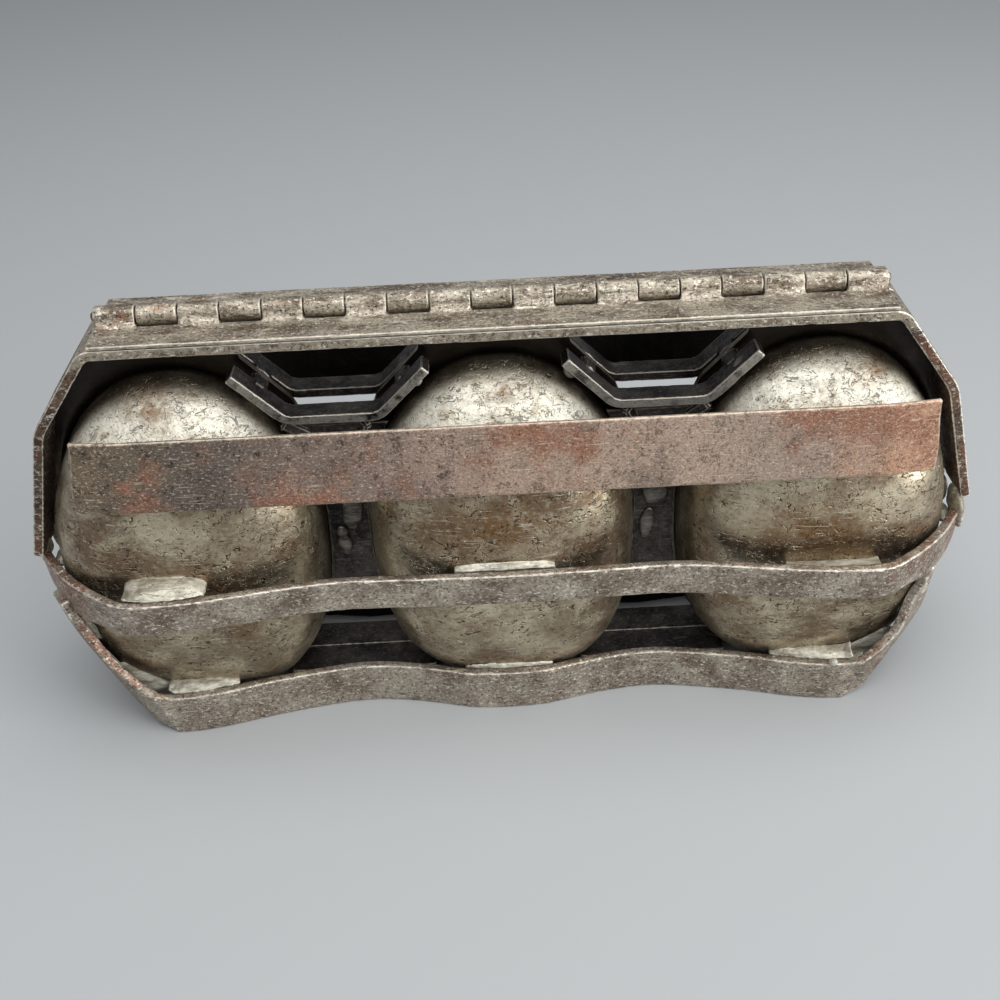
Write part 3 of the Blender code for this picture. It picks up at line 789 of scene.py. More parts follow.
@dataclass(frozen=True, kw_only=True)
class TinnedShell(Finish):
    """Old tinned sheet: pale crinkled crowns partly painted light, browned faces, painted shade on the sides
    and flange.
    """

    name: str = "tinned_shell"
    metallic: float = 0.92
    crown_dulled: float = 0.7
    bump: float = 0.6 * MM
    rough: tuple[float, float] = (0.24, 0.46)
    dull: Colour = srgb(142, 127, 104)
    clean: Colour = srgb(204, 191, 166)
    browned: Colour = srgb(122, 98, 76)
    pale: Colour = srgb(205, 194, 166)
    crown: Colour = srgb(238, 233, 216)
    burnt: Colour = srgb(128, 96, 62)
    specks: Colour = srgb(74, 60, 44)
    grit: tuple[Colour, Colour] = (srgb(76, 62, 46), srgb(236, 230, 212))
    crease: Colour = srgb(44, 34, 24)
    scratch: Colour = srgb(235, 230, 212)
    shaded: Colour = srgb(72, 64, 52)
    # Painted shade: near-black for the flange under the rail, where the frame band keeps the light off.
    soot: Colour = srgb(50, 45, 42)

    def lay_on(self, coats: Coats, w: Wiring) -> Socket:
        """Lays on every coat.

        Args:
            coats: The material's coats.
            w: Its wiring.

        Returns:
            Height of the bump.
        """
        where, effects, top = coats.where, coats.effects, w.value("top")
        coats.colour = w.mix(w.patches(where, 42, 0.35, 0.65, rough=0.62), self.dull, self.clean)
        streaks = w.patches(w.stretched(where, (0.6, 1, 1.4)), 55, 0.44, 0.6)
        coats.lay(self.browned, w.value("face"), streaks, 0.8)
        coats.lay(self.pale, w.patches(where, 85, 0.52, 0.64, rough=0.72), 0.7)
        # Pale crown: partly whitish tin, partly painted light on the lit tops.
        coats.lay(self.crown, top, w.patches(where, 120, 0.3, 0.52, rough=0.75))
        coats.lay(self.burnt, w.value("stain"), w.patches(where, 260, 0.25, 0.6, 5))
        coats.lay(self.specks, coats.mask(effects.speckle, Size=1.3 * MM, Amount=0.16), 0.75)
        coats.grit(0.3, *self.grit, 0.7)
        crazed, wide = w.value("crazed"), w.stretched(where, (0.7, 1, 1.5))
        small = coats.mask(effects.creases, Size=3.4 * MM, Amount=crazed)
        large = coats.mask(effects.creases, wide, Size=7.5 * MM, Amount=crazed)
        lines = w.math("MAXIMUM", small, large)
        coats.lay(self.crease, lines, 0.85)
        coats.scratch(self.scratch, 0.6)
        # Painted shade on the dome's sides near the parting plane.
        coats.lay(self.shaded, w.value("side"))
        # Painted shade on the flange under the rail.
        coats.lay(self.soot, w.value("flange"))
        shine = w.math("SUBTRACT", self.metallic, w.times(top, self.crown_dulled))
        w.feed(coats.shader.inputs["Metallic"], shine)
        fine = w.times(w.noise(where, 420, 4, 0.65), w.math("ADD", w.times(top, 0.5), 0.2))
        broad = w.times(w.noise(where, 110, 3, 0.5), 0.55)
        return w.math("SUBTRACT", w.math("ADD", fine, broad), w.times(lines, 0.4))


@dataclass(frozen=True, kw_only=True)
class CrownBand(Finish):
    """The wide strap: dark and speckled on the left, a rust patch, then worn brown that ends orange."""

    name: str = "crown_band"
    metallic: float = 0.55
    bump: float = 0.3 * MM
    rough: tuple[float, float] = (0.42, 0.66)
    run: tuple[float, float] = (-80 * MM, 180 * MM)
    stops: tuple[tuple[float, Colour], ...] = (
        (0.0, srgb(132, 116, 94)),
        (0.14, srgb(102, 93, 86)),
        (0.4, srgb(166, 142, 128)),
        (0.55, srgb(192, 166, 146)),
        (0.86, srgb(170, 150, 136)),
        (0.97, srgb(196, 152, 124)),
    )
    blotch: Colour = srgb(92, 80, 72)
    black: Colour = srgb(48, 38, 34)
    dark_rust: Colour = srgb(142, 98, 78)
    bright_rust: Colour = srgb(184, 134, 108)
    bare: Colour = srgb(214, 196, 168)
    grit: tuple[Colour, Colour] = (srgb(56, 44, 38), srgb(240, 222, 198))
    crease: Colour = srgb(44, 34, 30)
    scratch: Colour = srgb(222, 208, 184)
    rubbed: Colour = srgb(214, 200, 180)
    # Painted shade: near-black for faces in the hollow under the hinge.
    soot: Colour = srgb(26, 22, 21)

    def tones(self, w: Wiring, along: Socket) -> Socket:
        """The strap's colours from left to right.

        Args:
            w: The material's wiring.
            along: How far along the strap it is, 0 to 1.

        Returns:
            The colour.
        """
        node = w.add("ShaderNodeValToRGB", {"Fac": along})
        marks = node.color_ramp.elements
        for mark, stop in zip(marks, (self.stops[0], self.stops[-1])):
            mark.position, mark.color = stop
        for place, colour in self.stops[1:-1]:
            marks.new(place).color = colour
        return node.outputs["Color"]

    def lay_on(self, coats: Coats, w: Wiring) -> Socket:
        """Lays on every coat.

        Args:
            coats: The material's coats.
            w: Its wiring.

        Returns:
            Height of the bump.
        """
        where, effects = coats.where, coats.effects
        across = w.add("ShaderNodeSeparateXYZ", {0: where}).outputs["X"]
        ragged = w.math("MULTIPLY_ADD", w.noise(where, 45, 6, 0.7), 0.1, across, clamp=False)
        inputs = {"Value": ragged, "From Min": self.run[0], "From Max": self.run[1]}
        along = w.add("ShaderNodeMapRange", inputs).outputs["Result"]
        coats.colour = self.tones(w, along)
        coats.lay(self.blotch, w.patches(w.stretched(where, (1, 1, 0.7)), 85, 0.5, 0.62, 7, 0.72), 0.45)
        black = coats.mask(effects.speckle, Size=1.6 * MM, Amount=0.34)
        coats.lay(self.black, black, w.math("SUBTRACT", 0.95, w.times(along, 0.55)))
        coats.rust(0.92, where, Amount=0.46, Size=34 * MM, Dark=self.dark_rust, Bright=self.bright_rust)
        turned = w.stretched(where, (1, 1, 1), 0.6)
        coats.lay(self.bare, coats.mask(effects.speckle, turned, Size=0.9 * MM, Amount=0.1), 0.75)
        coats.grit(0.7, *self.grit, 1.25)
        coats.lay(self.crease, coats.mask(effects.creases, Size=2.6 * MM, Amount=0.8), 0.7)
        coats.scratch(self.scratch, 0.6)
        coats.rub(self.rubbed, 0.8)
        # Painted shade in the hollow under the hinge.
        coats.lay(self.soot, w.value("soot"))
        return w.math("ADD", w.math("SUBTRACT", 0.5, black), w.times(w.noise(where, 1100, 4, 0.7), 0.5))


@dataclass(frozen=True, kw_only=True)
class BarPatina(Finish):
    """Bar stock with mottled patina, rust, dark pits and bright rubbed edges."""

    metallic: float = 0.72
    bump: float = 0.3 * MM
    rough: tuple[float, float] = (0.34, 0.6)
    clean: Colour
    stained: Colour
    rusty: float
    bright_rust: Colour
    dark_rust: Colour = srgb(106, 74, 60)
    specks: Colour = srgb(78, 64, 54)
    bare: Colour = srgb(168, 156, 138)
    grit: tuple[Colour, Colour] = (srgb(54, 42, 36), srgb(246, 240, 224))
    crease: Colour = srgb(58, 46, 38)
    scratch: Colour = srgb(226, 218, 202)
    rubbed: Colour = srgb(236, 230, 216)
    # Painted shade: near-black for faces in the hollow under the hinge.
    soot: Colour = srgb(26, 22, 21)

    def lay_on(self, coats: Coats, w: Wiring) -> Socket:
        """Lays on every coat.

        Args:
            coats: The material's coats.
            w: Its wiring.

        Returns:
            Height of the bump.
        """
        where, effects = coats.where, coats.effects
        coats.colour = w.mix(w.patches(where, 75, 0.36, 0.66, 7), self.clean, self.stained)
        grain = coats.mask(effects.speckle, Size=1.6 * MM, Amount=0.2)
        coats.lay(self.specks, grain, 0.7)
        amount = w.math("ADD", w.times(w.value("rusty"), 0.36), self.rusty)
        coats.rust(0.8, where, Amount=amount, Size=18 * MM, Dark=self.dark_rust, Bright=self.bright_rust)
        coats.lay(self.bare, w.value("bare"), w.patches(where, 200, 0.3, 0.5))
        coats.grit(0.85, *self.grit)
        lines = coats.mask(effects.creases, w.stretched(where, (0.5, 1, 1.6)), Size=5 * MM, Amount=0.5)
        coats.lay(self.crease, lines)
        coats.scratch(self.scratch, 0.55)
        coats.rub(self.rubbed, 0.9)
        # Painted shade in the hollow under the hinge.
        coats.lay(self.soot, w.value("soot"))
        return w.math("SUBTRACT", w.noise(where, 700, 5, 0.7), w.times(w.math("ADD", grain, lines), 0.6))


@dataclass(frozen=True, kw_only=True)
class DarkTie(Finish):
    """Near-black bar between the shells, its black being painted shade, with a painted highlight on its
    outward lip and grey rubbed edges.
    """

    name: str = "dark_tie"
    metallic: float = 0.8
    bump: float = 0.3 * MM
    rough: tuple[float, float] = (0.34, 0.6)
    # Painted shade: the near-black base stands in for the shade between the shells.
    sooty: Colour = srgb(36, 32, 33)
    dull: Colour = srgb(88, 82, 78)
    # Painted highlight on the outward face of the top ties.
    lip: Colour = srgb(186, 182, 172)
    grit: tuple[Colour, Colour] = (srgb(20, 17, 17), srgb(150, 142, 132))
    scratch: Colour = srgb(150, 144, 134)
    rubbed: Colour = srgb(196, 190, 178)

    def lay_on(self, coats: Coats, w: Wiring) -> Socket:
        """Lays on every coat.

        Args:
            coats: The material's coats.
            w: Its wiring.

        Returns:
            Height of the bump.
        """
        where = coats.where
        # Near-black painted shade broken by dull grey patches, then the painted highlight on the lip.
        coats.colour = w.mix(w.patches(where, 90, 0.35, 0.65), self.sooty, self.dull)
        coats.lay(self.lip, w.value("lip"), w.patches(where, 130, 0.34, 0.52, 5), 0.85)
        coats.grit(0.4, *self.grit)
        coats.scratch(self.scratch, 0.5)
        coats.rub(self.rubbed, 0.85)
        return w.noise(where, 700, 5, 0.7)


@dataclass(frozen=True, kw_only=True)
class HingeSteel(Finish):
    """Pale tarnished hinge steel, scratched along its length, dark brown in its grooves and rusty at its ends.
    """

    name: str = "hinge_steel"
    metallic: float = 0.8
    bump: float = 0.4 * MM
    rough: tuple[float, float] = (0.32, 0.58)
    tarnished: Colour = srgb(112, 98, 82)
    clean: Colour = srgb(190, 180, 162)
    dark_rust: Colour = srgb(112, 68, 46)
    bright_rust: Colour = srgb(176, 116, 78)
    crevice: Colour = srgb(46, 30, 22)
    specks: Colour = srgb(70, 56, 44)
    grit: tuple[Colour, Colour] = (srgb(44, 34, 28), srgb(250, 244, 230))
    crease: Colour = srgb(52, 40, 32)
    scratch: Colour = srgb(236, 230, 214)
    rubbed: Colour = srgb(226, 218, 202)

    def lay_on(self, coats: Coats, w: Wiring) -> Socket:
        """Lays on every coat.

        Args:
            coats: The material's coats.
            w: Its wiring.

        Returns:
            Height of the bump.
        """
        where, effects = coats.where, coats.effects
        long = w.stretched(where, (0.4, 1, 1))
        coats.colour = w.mix(w.patches(long, 150, 0.36, 0.6, 7, 0.72), self.tarnished, self.clean)
        amount = w.math("ADD", w.times(w.value("rusty"), 0.3), 0.28)
        coats.rust(0.75, long, Amount=amount, Size=11 * MM, Dark=self.dark_rust, Bright=self.bright_rust)
        # Darkens the grooves to dark brown.
        coats.lay(self.crevice, w.step(w.value("groove"), 0.05, 0.5))
        grain = coats.mask(effects.speckle, long, Size=1.5 * MM, Amount=0.2)
        coats.lay(self.specks, grain, 0.7)
        coats.grit(0.9, *self.grit)
        lines = coats.mask(effects.creases, w.stretched(where, (0.25, 1, 1)), Size=4 * MM, Amount=0.45)
        coats.lay(self.crease, lines)
        coats.scratch(self.scratch, 0.7)
        coats.rub(self.rubbed, 0.6)
        return w.math("SUBTRACT", w.noise(long, 700, 5, 0.75), w.times(w.math("ADD", grain, lines), 0.6))


@dataclass(frozen=True, kw_only=True)
class PinSteel(Finish):
    """Plain steel pin, dark with old oil."""

    name: str = "pin_steel"
    metallic: float = 0.9
    bump: float = 0.2 * MM
    rough: tuple[float, float] = (0.3, 0.5)
    oily: Colour = srgb(92, 80, 68)
    clean: Colour = srgb(150, 140, 124)

    def lay_on(self, coats: Coats, w: Wiring) -> Socket:
        """Lays on every coat.

        Args:
            coats: The material's coats.
            w: Its wiring.

        Returns:
            Height of the bump.
        """
        coats.colour = w.mix(w.patches(coats.where, 260, 0.35, 0.65, 5), self.oily, self.clean)
        return w.noise(coats.where, 900, 4, 0.7)


@dataclass(frozen=True, kw_only=True)
class SolderTin(Finish):
    """Solder streaked along the strap, with dark flux specks."""

    slot: str = "solder"
    bump: float = 0.4 * MM
    rough: tuple[float, float] = (0.34, 0.56)
    dull: Colour
    clean: Colour
    specks: Colour = srgb(86, 74, 56)
    crease: Colour = srgb(70, 58, 44)
    rubbed: Colour = srgb(240, 237, 226)

    def lay_on(self, coats: Coats, w: Wiring) -> Socket:
        """Lays on every coat.

        Args:
            coats: The material's coats.
            w: Its wiring.

        Returns:
            Height of the bump.
        """
        streak = w.stretched(coats.where, (0.3, 1, 1.4))
        coats.colour = w.mix(w.patches(streak, 190, 0.36, 0.62), self.dull, self.clean)
        coats.lay(self.specks, coats.mask(coats.effects.speckle, Size=1.3 * MM, Amount=0.14), 0.7)
        lines = coats.mask(coats.effects.creases, streak, Size=3.6 * MM, Amount=0.35)
        coats.lay(self.crease, lines)
        coats.rub(self.rubbed, 0.5)
        return w.math("SUBTRACT", w.noise(streak, 560, 5, 0.7), lines)


class Finishes:
    """Every finish of the mould, made once."""

    def __init__(self) -> None:
        """Builds the groups and all the materials."""
        effects = Effects()
        worn = BarPatina(
            name="worn_strap",
            clean=srgb(184, 174, 159),
            stained=srgb(126, 110, 96),
            rusty=0.22,
            bright_rust=srgb(176, 124, 98),
        )
        rusted = BarPatina(
            name="rusted_frame",
            clean=srgb(120, 102, 86),
            stained=srgb(66, 54, 46),
            rusty=0.2,
            bright_rust=srgb(136, 98, 78),
        )
        fresh = SolderTin(name="solder", metallic=0.4, dull=srgb(140, 132, 114), clean=srgb(216, 212, 196))
        old = SolderTin(name="old_solder", metallic=0.85, dull=srgb(70, 66, 60), clean=srgb(150, 146, 138))
        self.shell = TinnedShell().make(effects)
        self.crown = CrownBand().make(effects)
        self.strap = worn.make(effects)
        self.frame = rusted.make(effects)
        self.tie = DarkTie().make(effects)
        self.hinge = HingeSteel().make(effects)
        self.pin = PinSteel().make(effects)
        self.solder = fresh.make(effects)
        self.old_solder = old.make(effects)


@dataclass(frozen=True)
class EggForm:
    """The shape of a half-egg shell with its flange, drawn finely from the egg's formula."""

    turns: int = 176
    dome_rings: int = 52
    flange_rings: int = 4
    ring_spread: float = 1.35
    tie_bend: float = 17 * MM
    tie_gap: float = 0.6 * MM
    shoulder: float = 96 * MM
    tie_level: float = 112.3 * MM
    neck: tuple[float, float] = (23 * MM, 128.5 * MM)
    leg_foot: tuple[float, float] = (3.5 * MM, 67.5 * MM)
    leg_bend: tuple[float, float] = (13.2 * MM, 111.9 * MM)
    leg_top: float = 31.2 * MM

    @staticmethod
    def share(height: Array, wall: float) -> Array:
        """The egg's half width at each height, as a share of its greatest one.

        Args:
            height: Heights above the floor.
            wall: How far inside the outer face, 0 for that face itself.

        Returns:
            Values from 0, past the egg's ends, to 1.
        """
        rise = height - EGG_CENTRE_HEIGHT
        length = np.where(rise > 0, EGG_RISE, EGG_FALL) - wall
        fullness = np.where(rise > 0, EGG_TOP_FULLNESS, EGG_LOW_FULLNESS)
        return np.clip(1 - np.abs(rise / length) ** fullness, 0, 1) ** (1 / fullness)

    def depth(self, across: Array, height: Array, wall: float) -> Array:
        """How far the shell stands off the parting plane, a wall's thickness in.

        Args:
            across: Distances across from the egg's centre.
            height: Heights above the floor.
            wall: How far inside the outer face, 0 for that face itself.

        Returns:
            The distances, each at least that of the shell's rim.
        """
        wide = np.abs(across) / (EGG_HALF_WIDTH - wall)
        left = self.share(height, wall) ** EGG_SECTION_FULLNESS - wide**EGG_SECTION_FULLNESS
        return PARTING + (EGG_DEPTH - wall) * np.clip(left, 0, 1) ** (1 / EGG_SECTION_FULLNESS)

    def dome(self, place: Place, x: float, z: float) -> float:
        """How far the dome stands off the parting plane at one point."""
        return float(self.depth(np.array([x - place.centre]), np.array([z]), 0.0)[0])

    def flange_corners(self, place: Place, half: Half) -> list[tuple[float, float]]:
        """Corners of the flange above the egg's middle, from the right side round to the left.

        Args:
            place: Which egg.
            half: Which half.

        Returns:
            Distance across from the egg's centre and height of each corner.
        """
        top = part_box(f"{half.prefix}_egg_shell_{place.side}")[1].z
        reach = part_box(f"{half.prefix}_frame_band")[1].x - EGG_PITCH
        tie_low, tie_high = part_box(f"{half.prefix}_top_tie_right")
        tie_run = (tie_high.x - tie_low.x) / 2 - self.tie_bend
        inner = [
            (EGG_HALF_WIDTH + RIM_WIDTH, self.shoulder),
            (EGG_PITCH / 2 - tie_run + self.tie_gap, self.tie_level),
            self.neck,
            (self.neck[0], top),
        ]
        legs = (self.leg_foot, self.leg_bend, (self.leg_top, top))
        outer = [(reach - inset, height) for inset, height in legs]
        right = outer if place is Place.RIGHT else inner
        left = outer if place is Place.LEFT else inner
        return right + [(-x, z) for x, z in reversed(left)]

    @staticmethod
    def flange_reach(corners: list[tuple[float, float]], rim: Array) -> Array:
        """How far out the flange's edge is.

        Args:
            corners: Corners of the flange's edge, in order.
            rim: Places on the egg's rim, N by 2, from its centre.

        Returns:
            N multiples of the rim's distance from the egg's centre.
        """
        reach = np.full(len(rim), 1.0 + RIM_WIDTH / EGG_HALF_WIDTH)
        for (ax, az), (bx, bz) in pairwise(corners):
            side = (bx - ax, bz - az)
            start = (ax, az - EGG_CENTRE_HEIGHT)
            cross = rim[:, 0] * side[1] - rim[:, 1] * side[0]
            cross = np.where(np.abs(cross) < 1e-12, 1e-12, cross)
            far = (start[0] * side[1] - start[1] * side[0]) / cross
            share = (start[0] * rim[:, 1] - start[1] * rim[:, 0]) / cross
            hit = (far > 0) & (share >= 0) & (share <= 1)
            reach = np.where(hit, np.maximum(reach, far), reach)
        return reach

    def skin_grid(self, place: Place, half: Half, wall: float) -> Array:
        """One skin of the shell, flange edge first and crown last.

        Args:
            place: Which egg.
            half: Which half.
            wall: 0 for the outer skin, the sheet's thickness for the inner one.

        Returns:
            Places as turns by rings by 3, for the front half's side.
        """
        turn = 2 * math.pi * (np.arange(self.turns) + 0.5) / self.turns
        upper = np.sin(turn) > 0
        fullness = np.where(upper, EGG_TOP_FULLNESS, EGG_LOW_FULLNESS)
        length = np.where(upper, EGG_RISE, EGG_FALL)
        reach = (np.abs(np.cos(turn)) ** fullness + np.abs(np.sin(turn)) ** fullness) ** (-1 / fullness)
        rim = np.stack([EGG_HALF_WIDTH * reach * np.cos(turn), length * reach * np.sin(turn)], 1)
        far = self.flange_reach(self.flange_corners(place, half), rim)
        rings = []
        flat = PARTING + (0 if wall else SHELL_WALL)
        for k in range(self.flange_rings):
            scale = far + (1.0 - far) * k / self.flange_rings
            rings.append(np.stack([rim[:, 0] * scale, np.full(self.turns, -flat), rim[:, 1] * scale], 1))
        inner = np.stack([rim[:, 0] * (1 - wall / EGG_HALF_WIDTH), rim[:, 1] * (1 - wall / length)], 1)
        for k in range(self.dome_rings + 1):
            lift = math.pi / 2 * (k / self.dome_rings) ** self.ring_spread
            out = math.cos(lift) ** (2 / EGG_SECTION_FULLNESS) if k < self.dome_rings else 0.0
            across, height = inner[:, 0] * out, inner[:, 1] * out + EGG_CENTRE_HEIGHT
            deep = np.maximum(self.depth(across, height, wall), flat if k else 0)
            rings.append(np.stack([across, -deep, height - EGG_CENTRE_HEIGHT], 1))
        grid = np.stack(rings, 1)
        grid[:, :, 0] += place.centre
        grid[:, :, 2] += EGG_CENTRE_HEIGHT
        return grid

    def shell_mesh(self, name: str, place: Place, half: Half) -> Mesh:
        """The closed shell: outer skin, inner skin and the flange's edge between them.

        Args:
            name: Name of the mesh.
            place: Which egg.
            half: Which half.

        Returns:
            The mesh, in its place.
        """
        outer, inner = self.skin_grid(place, half, 0.0), self.skin_grid(place, half, SHELL_WALL)
        sides = [skin[:, :-1].reshape(-1, 3) for skin in (outer, inner)]
        points = np.concatenate([*sides, outer[:1, -1], inner[:1, -1]])
        rings = outer.shape[1] - 1
        inside = self.turns * rings
        outer_pole, inner_pole = 2 * inside, 2 * inside + 1
        faces = []
        for t in range(self.turns):
            n = (t + 1) % self.turns
            for r in range(rings - 1):
                a, b, c, d = t * rings + r, t * rings + r + 1, n * rings + r + 1, n * rings + r
                faces.append((a, b, c, d))
                faces.append((inside + d, inside + c, inside + b, inside + a))
            last, following = t * rings + rings - 1, n * rings + rings - 1
            faces.append((last, outer_pole, following))
            faces.append((inside + following, inner_pole, inside + last))
            faces.append((n * rings, inside + n * rings, inside + t * rings, t * rings))
        points[:, 1] *= -half.sign
        if half is Half.FRONT:
            faces = [face[::-1] for face in faces]
        mesh = bpy.data.meshes.new(name)
        mesh.from_pydata([tuple(point) for point in points], [], faces)
        mesh.update()
        return mesh


@dataclass(frozen=True)
class Stain:
    """A burnt patch on an egg's front, in millimetres: its middle across and up, and how far it spreads."""

    across: float
    height: float
    wide: float
    high: float

    def strength(self, across: Array, height: Array) -> Array:
        """How brown each point is."""
        x, z = (across / MM - self.across) / self.wide, (height / MM - self.height) / self.high
        return np.exp(-(x**2) - z**2)


@dataclass
class EggShells:
    """The six half-egg shells, dented and dressed.

    A Span says where a mark begins and where it is full: in millimetres, or as a share for a facing.
    """

    dress: Dress
    form: EggForm = EggForm()
    dent: float = 0.85 * MM
    dent_size: float = 20 * MM
    crinkle: float = 0.11 * MM
    crinkle_size: float = 3.6 * MM
    ripple: float = 0.45 * MM
    ripple_rise: tuple[float, float] = (118.6 * MM, 1.6 * MM)
    ripple_fall: tuple[float, float] = (116.4 * MM, 0.8 * MM)
    ripple_reach: Span = (18, 8)
    rough_heights: Span = (88, 112)
    middle_swell: float = 0.12 * MM
    free_depth: float = 0.98
    dome_depths: Span = (2, 9)
    pale_heights: Span = (92, 112)
    pale_depths: Span = (6, 15)
    face_facing: Span = (0.35, 0.75)
    side_heights: Span = (118, 100)
    side_depths: Span = (13, 5)
    crazed_heights: Span = (110, 80)
    # Where painted shade darkens the flange under the rail.
    sooty_heights: Span = (90, 104)
    sooty_depths: Span = (3.2, 1.6)
    outer_facing: Span = (-0.3, 0.3)
    sharp_angle: float = math.radians(50)

    STAINS = {
        Place.LEFT: (Stain(-3.0, 119.5, 9.0, 4.5), Stain(14.0, 60.0, 8.0, 10.0)),
        Place.MIDDLE: (Stain(2.0, 119.0, 6.0, 2.0), Stain(-1.0, 80.0, 20.0, 9.0)),
        Place.RIGHT: (Stain(14.0, 119.0, 7.0, 3.0), Stain(-3.0, 74.0, 22.0, 9.0)),
    }

    def dents(self, points: Array, across: Array, dome: Array, seed: int) -> Array:
        """How far each point is knocked out of the egg's formula.

        Args:
            points: Places on the shell.
            across: Distance from the egg's middle.
            dome: 0 on the flange, 1 on the dome.
            seed: Fixes the pattern.

        Returns:
            Distances, outwards.
        """
        grain, height = Grain(seed), points[:, 2]
        shift = self.dent * grain.field(points, self.dent_size, 3) * dome
        rough = step_mm(height, *self.rough_heights) * 0.7 + 0.3
        shift += self.crinkle * rough * dome * grain.field(points + 0.4, self.crinkle_size, 3)
        fold = [np.exp(-(((height - at) / wide) ** 2)) for at, wide in (self.ripple_rise, self.ripple_fall)]
        return shift - self.ripple * (fold[0] - fold[1]) * step_mm(np.abs(across), *self.ripple_reach) * dome

    def hammer(self, mesh: Mesh, place: Place, half: Half, seed: int) -> None:
        """Dents the dome, and stores where it is scuffed, its pale crown partly painted light, and painted
        shade on its sides and flange.

        Args:
            mesh: The shell.
            place: Which egg.
            half: Which half.
            seed: Fixes the pattern.
        """
        points, normals = points_of(mesh), normals_of(mesh)
        across, height, deep = points[:, 0] - place.centre, points[:, 2], np.abs(points[:, 1])
        dome = step_mm(deep, *self.dome_depths)
        out = np.where(normals[:, 1] * points[:, 1] * half.sign >= 0, 1.0, -1.0)
        shift = self.dents(points, across, dome, seed) * out
        if place is Place.MIDDLE:
            shift = np.minimum(shift, self.middle_swell)
        free = deep < EGG_DEPTH * self.free_depth
        move_points(mesh, points + normals * (shift * free)[:, None])
        stains = self.STAINS[place] if half is Half.FRONT else ()
        browned = sum((stain.strength(across, height) for stain in stains), np.zeros(len(points)))
        # Painted shade on the flange under the rail, strongest where it faces outward.
        sooty = step_mm(deep, *self.sooty_depths) * step_mm(height, *self.sooty_heights)
        outward = smooth_step(half.sign * normals[:, 1], *self.outer_facing)
        set_values(
            mesh,
            # The pale crown, partly painted light on the lit tops.
            top=step_mm(height, *self.pale_heights) * step_mm(deep, *self.pale_depths),
            face=smooth_step(np.abs(normals[:, 1]), *self.face_facing),
            # Painted shade on the sides near the parting plane, below the crown.
            side=0.75 * step_mm(deep, *self.side_depths) * step_mm(height, *self.side_heights),
            crazed=(0.8 + 0.2 * step_mm(height, *self.crazed_heights)) * dome,
            stain=np.clip(browned, 0, 1) * dome,
            # flange holds the painted shade of the flange under the rail.
            flange=sooty * (0.25 + 0.75 * outward),
        )
        mesh.shade_smooth()
        mesh.set_sharp_from_angle(angle=self.sharp_angle)

    def build(self) -> None:
        """Makes and dresses all six shells."""
        for half, place in product(Half, Place):
            node = f"{half.prefix}_egg_shell_{place.side}"
            mesh = self.form.shell_mesh(node + "_tinned", place, half)
            self.hammer(mesh, place, half, 11 + place.value + 5 * half.sign)
            wear_in(node + "_tinned", mesh, half, self.dress, node)


@dataclass(frozen=True)
class BarWork:
    """One kind of bar piece: its node without the half, its dress, how it has worn and where it rusts."""

    node: str
    dress: Dress
    skin: Skin
    rusty: Callable[[Array], Array] = lambda points: np.zeros(len(points))


